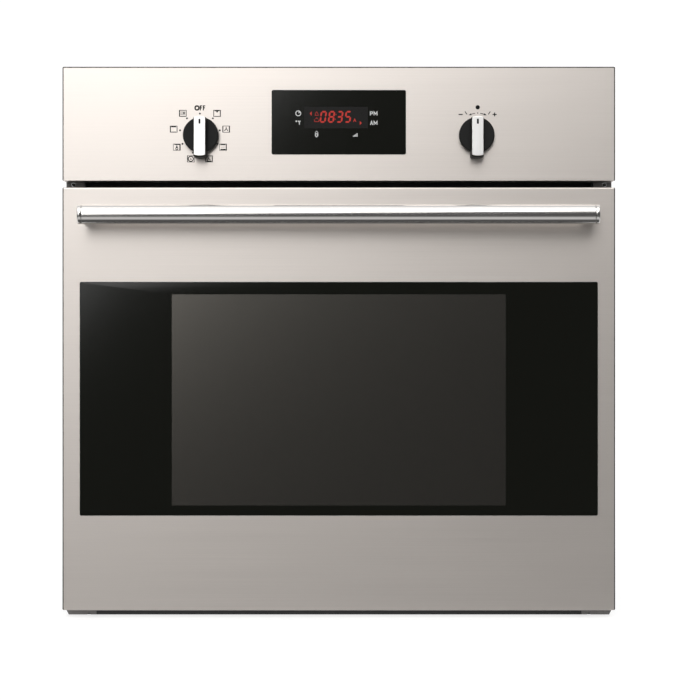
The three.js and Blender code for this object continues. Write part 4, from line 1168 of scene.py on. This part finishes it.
def side_rack(side, name):
    node = f"rack_support_{name}"
    (x0, y0, z0), (x1, y1, z1) = box(node)
    inner, outer = sorted((abs(x0), abs(x1)))
    post_x, x = side * (outer - RACK_WIRE), side * (inner + RACK_WIRE)
    front, back = y0 + RACK_WIRE, y1 - RACK_WIRE
    post_y = (y0 + POST_INSET, y1 - POST_INSET)
    paths = [[(post_x, y, z0), (post_x, y, z1)] for y in post_y]
    paths += [
        [(post_x, y, z), (side * outer, y, z)]
        for y, z in product(post_y, (z0 + 12 * MM, z1 - 6 * MM))]
    for level in range(RAIL_LEVELS):
        z = z0 + RAIL_FIRST + level * RAIL_PITCH
        paths.append(rounded_path([
            (x, front, z), (x, back, z), (x, back, z + RAIL_PAIR), (x, front, z + RAIL_PAIR),
            (x, front, z)], 5 * MM))
    bars_for(f"side_rack_{name}", paths, RACK_WIRE, node)


def oven_shelf():
    (_, y0, z0), (x1, y1, _) = box("wire_shelf")
    x, z = x1 - SHELF_EDGE, z0 + SHELF_EDGE
    front, back = y0 + SHELF_EDGE, y1 - SHELF_EDGE
    rim = rounded_path([
        (0, front, z), (x, front, z), (x, back, z), (-x, back, z), (-x, front, z),
        (0, front, z)], 9 * MM)
    brace = [(side * x, (front + back) / 2, z) for side in (-1, 1)]
    bars_for("shelf_frame", [rim, brace], SHELF_EDGE, "wire_shelf")
    places = [
        (i - (SHELF_BARS - 1) / 2) * 2 * x / (SHELF_BARS + 1) for i in range(SHELF_BARS)]
    bars_for("shelf_grid", [
        [(at, y, z + SHELF_EDGE) for y in (front, back)] for at in places],
        SHELF_WIRE, "wire_shelf")


def oven_tray():
    """A pressed enamelled tray with a rolled rim and rounded corners."""
    (_, _, base), (_, _, top) = box("baking_tray")
    size, middle = span("baking_tray"), centre("baking_tray")
    rim, wall, flare = 24 * MM, 1.2 * MM, 4 * MM
    # Each row: inset from the tray's outer size, height, corner radius in millimetres.
    sections = (
        (rim + flare + 6 * MM, base, 14), (rim + flare, base + 3 * MM, 16),
        (rim, top - wall - 1 * MM, 18), (rim - 3 * MM, top - wall, 18),
        (1 * MM, top - wall, 8), (0, top - wall / 2, 8), (1 * MM, top, 8), (rim, top, 18),
        (rim + 2.6 * MM, top - 1.2 * MM, 17), (rim + flare + 2 * wall, base + 4 * MM, 14),
        (rim + flare + 7 * MM, base + wall, 12))
    stand_in("oven_tray", skin([
        [Vector((middle.x + px, middle.y + py, z)) for px, py in rounded_outline(
            size.x - inset, size.y - inset, corner * MM, 7)]
        for inset, z, corner in sections]), "baking_tray")


for side_row in SIDES:
    side_rack(*side_row)
oven_shelf()
oven_tray()

# ---- Heaters, lamp and probe ----

SHEATH = 3.3 * MM
ELEMENT_STEP = 50 * MM
ELEMENT_BEND = 22 * MM
PLATE_MARGIN = 9 * MM
PLATE_THICKNESS = 2 * MM
WALL_INNER = high("cavity_liner").y - 1.5 * MM


def element(name, node, leg, inner, back):
    """A tubular heater: out of the rear wall, round the cavity, and back."""
    (_, y0, _), (x1, y1, _) = box(node)
    z, outer, front = centre(node).z, x1 - SHEATH, y0 + SHEATH
    half = [
        (leg, y1, z), (leg, back, z), (outer, back, z), (outer, front, z), (inner, front, z),
        (inner, back - ELEMENT_STEP, z)]
    path = half + [(-x, y, z) for x, y, z in reversed(half)]
    bars_for(name, [rounded_path(path, ELEMENT_BEND)], SHEATH, node)


def mounting_plate(name, node, leg, z):
    """A plate on the rear wall, round a heater's two legs."""
    build, half, rear = bmesh.new(), leg + PLATE_MARGIN, WALL_INNER - PLATE_THICKNESS
    add_box(build, (-half, rear, z - PLATE_MARGIN), (half, WALL_INNER, z + PLATE_MARGIN),
            0.5 * MM)
    stand_in(name, build, node)


def heaters():
    baffle, grill, ring = "fan_baffle", "grill_element", "ring_element"
    grill_leg, ring_leg, radius = 30 * MM, 12 * MM, 88 * MM
    element("bake_heater", "bake_element", 35 * MM, 60 * MM, high(baffle).y - 70 * MM)
    element("grill_heater", grill, grill_leg, 100 * MM, low(baffle).y - 30 * MM)
    mounting_plate("grill_heater_plate", grill, grill_leg, centre(grill).z)
    _, y, z = centre(baffle)
    _, tail, top = high(ring)
    loop = [(px, y, z + pz) for px, pz in (bearing(radius, a) for a in range(8, 353, 4))]
    leg_z = top - PLATE_MARGIN
    legs = [
        rounded_path([(x, y, z + radius), (x, y, leg_z), (x, tail, leg_z)], 6 * MM)
        for x in (-ring_leg, ring_leg)]
    bars_for("ring_heater", [loop] + legs, SHEATH, ring)
    mounting_plate("ring_heater_plate", ring, ring_leg, leg_z)


def lamp_and_probe():
    lens, probe = centre("lamp_lens"), centre("temperature_probe")
    stand_in("lamp_glass", turned((
        (22.0, 0.0), (22.0, 3.0), (21.0, 4.0), (19.2, 4.2), (18.8, 7.5), (17.4, 10.6),
        (14.0, 12.6), (8.0, 13.6), (0.3, 13.7)), (lens.x, high("lamp_lens").y, lens.z),
        TO_FRONT, 40), "lamp_lens")
    length = span("temperature_probe").y / MM
    build = turned(
        ((0.2, 0.0), (1.6, 0.4), (2.3, 1.4), (2.5, 3.0), (2.5, length)),
        (probe.x, low("temperature_probe").y, probe.z), ALONG_Y, 20)
    turned(((2.6, -2.0), (9.0, -1.5), (9.0, 0.0), (2.6, 0.0)),
           (probe.x, WALL_INNER, probe.z), ALONG_Y, 28, build)
    stand_in("oven_probe", build, "temperature_probe")


heaters()
lamp_and_probe()

# ---- Turned shafts and pins ----


def turned_rod(node, name, axis):
    """A round bar along X or Y in place of a faceted one, with broken edges."""
    size, broken = span(node), 0.4
    along = size.x if axis[0] else size.y
    radius, length = size.z / 2 / MM, along / MM
    start = centre(node) - Vector(axis) * along / 2
    stand_in(name, turned((
        (radius - broken, 0.0), (radius, broken), (radius, length - broken),
        (radius - broken, length)), start, axis, 32), node)


for rod_name in ("function", "control"):
    turned_rod(f"{rod_name}_knob_shaft", f"{rod_name}_spindle", ALONG_Y)
for _, rod_name in SIDES:
    turned_rod(f"hinge_pin_{rod_name}", f"hinge_pivot_{rod_name}", ALONG_X)

# ---- Inside of the door ----


def inner_door():
    """A black printed border on the inner pane, and the clips that hold it."""
    pane_low, pane_high = box("door_glass_inner")
    middle, size = centre("door_glass_inner"), span("door_glass_inner") / MM
    border = Print(pane_high.y + Print.THICKNESS, middle.x, middle.z)
    width = 26.0
    x, z = size.x / 2 - width / 2, size.z / 2 - width / 2
    border.stroke([(-x, -z), (x, -z), (x, z), (-x, z)], width - 1, closed=True)
    border.piece("inner_pane_border", ink, "door", "black_glass")
    build, half, tall = bmesh.new(), 12 * MM, 5 * MM
    for x, z in product(mm(-150, 150), (pane_low.z, pane_high.z)):
        add_box(
            build, (x - half, pane_high.y + 0.05 * MM, z - tall),
            (x + half, pane_high.y + 0.9 * MM, z + tall), 0.3 * MM)
    add_piece("pane_clips", build, "door", "galvanised_steel", zinc)


inner_door()

# ---- Boards, terminals and wiring ----


def blocks(name, boxes, slot, material=None, edge=0.4):
    """Blocks given by their low corner and their size in millimetres, as one piece."""
    build = bmesh.new()
    for corner, size in boxes:
        add_box(build, corner, Vector(corner) + Vector(mm(*size)), edge * MM)
    add_piece(name, build, "case", slot, material)


def board_parts():
    x0, y0, z0 = low("control_board")

    def spot(x, y):
        return Vector((x0, y0, z0 + 9.6 * MM)) + Vector(mm(x, y, 0))

    blocks("board_relays", [(spot(8 + 22 * i, 8), (19, 15.5, 15.5)) for i in range(4)],
           "black_plastic")
    blocks("board_sockets", [(spot(10 + 17 * i, 84), (14, 7, 9)) for i in range(6)], "ceramic")
    blocks("board_chips", [
        (spot(28, 46), (12, 12, 1.4)), (spot(46, 60), (8, 5, 1.4)),
        (spot(12, 62), (6, 4, 1.2)), (spot(60, 36), (5, 4, 1.2))],
        "black_plastic", black_face, 0.2)
    build = bmesh.new()
    for x, y, radius, height in (
            (12, 42, 5, 20), (12, 54, 4, 12), (100, 18, 6.3, 25), (116, 18, 5, 16),
            (66, 70, 4, 11)):
        turned((
            (radius - 0.4, 0.0), (radius, 0.4), (radius, 1.6), (radius - 0.3, 2.2),
            (radius, 2.8), (radius, height - 0.5), (radius - 0.5, height),
            (0.3, height - 0.1)), spot(x, y), ALONG_Z, 24, build)
    add_piece("board_capacitors", build, "case", "aluminium")


def spread(node, count):
    """Places across a node, at the middle of each of a count of equal widths."""
    box_low, box_high = box(node)
    return [box_low.x + (box_high.x - box_low.x) * (i + 0.5) / count for i in range(count)]


def switch_parts():
    tabs = []
    for node in ("selector_switch", "control_encoder"):
        (_, _, z0), (_, y1, z1) = box(node)
        tabs += [
            ((x - 2.4 * MM, y1 - 0.2 * MM, z), (4.8, 7.5, 0.8))
            for x, z in product(spread(node, 4), (z0 + 5 * MM, z1 - 6 * MM))]
    blocks("switch_tabs", tabs, "aluminium", edge=0.15)
    (x0, _, z0), (_, y1, _) = box("display_board")

    def behind(x, z):
        return x0 + x * MM, y1 - 0.05 * MM, z0 + z * MM

    blocks("display_chips", [
        (behind(20, 18), (11, 1.6, 11)), (behind(46, 38), (7, 1.4, 5)),
        (behind(100, 30), (12, 1.6, 9))], "black_plastic", black_face, 0.2)
    blocks("display_sockets", [
        (behind(60, 6), (24, 8, 7)), (behind(126, 8), (16, 8, 7))], "ceramic")
    _, y, z = low("terminal_block")
    build = bmesh.new()
    for x in spread("terminal_block", 4):
        turned(
            ((5.2, -0.1), (5.2, 1.2), (4.6, 1.8), (2.2, 2.0), (2.0, 1.0), (0.2, 1.0)),
            (x, y, z + 22 * MM), TO_FRONT, 20, build)
    add_piece("terminal_screws", build, "case", "aluminium")


def wire(first, last, first_y, last_y, top, bend=14 * MM):
    """A wire that leaves one plug, rises to run level, and comes down to another."""
    return rounded_path(
        [first, (first[0], first_y, top), (last[0], last_y, top), last], bend)


def wiring():
    """Loose bundles from the board to the front, the terminals and the fan."""
    deck = low("control_board").z + 20 * MM
    front = high("display_board").y + 12 * MM
    board_y = high("control_board").y - 8 * MM
    loft = high("top_cover").z - 24 * MM
    socket_z = low("display_board").z + 9 * MM
    selector, encoder = centre("selector_switch"), centre("control_encoder")
    terminals, fan = centre("terminal_block"), centre("cooling_fan_motor")
    block_y = low("terminal_block").y
    dark, pale = [], []
    for strand in range(3):
        gap = strand * 3 * MM
        dark.append(wire(
            (selector.x - 8 * MM + gap, front + 2 * MM, selector.z + 12 * MM),
            (-150 * MM + gap, board_y, deck), front + 28 * MM, board_y, loft - gap))
        pale.append(wire(
            (-5 * MM + gap, front, socket_z), (-110 * MM + gap, board_y - 2 * MM, deck),
            front + 26 * MM, board_y - 2 * MM, loft - gap - 8 * MM))
        dark.append(wire(
            (encoder.x - 6 * MM + gap, front, encoder.z + 8 * MM),
            (-90 * MM + gap, board_y - 1 * MM, deck), front + 34 * MM, board_y + 6 * MM,
            loft - gap - 4 * MM))
        pale.append(wire(
            (-130 * MM, board_y + 1 * MM + gap, deck),
            (terminals.x - 10 * MM + gap * 3, block_y - 3 * MM, terminals.z),
            board_y + 30 * MM + gap, block_y - 30 * MM, loft - 14 * MM, 16 * MM))
    pale.append(wire(
        (-100 * MM, board_y + 1 * MM, deck), (fan.x + 18 * MM, fan.y - 20 * MM, fan.z),
        board_y + 40 * MM, fan.y - 40 * MM, loft - 18 * MM))
    rods("dark_wires", dark, 1.1 * MM, "case", "gasket", sides=3)
    rods("pale_wires", pale, 1.1 * MM, "case", "ceramic", sides=3)


board_parts()
switch_parts()
wiring()
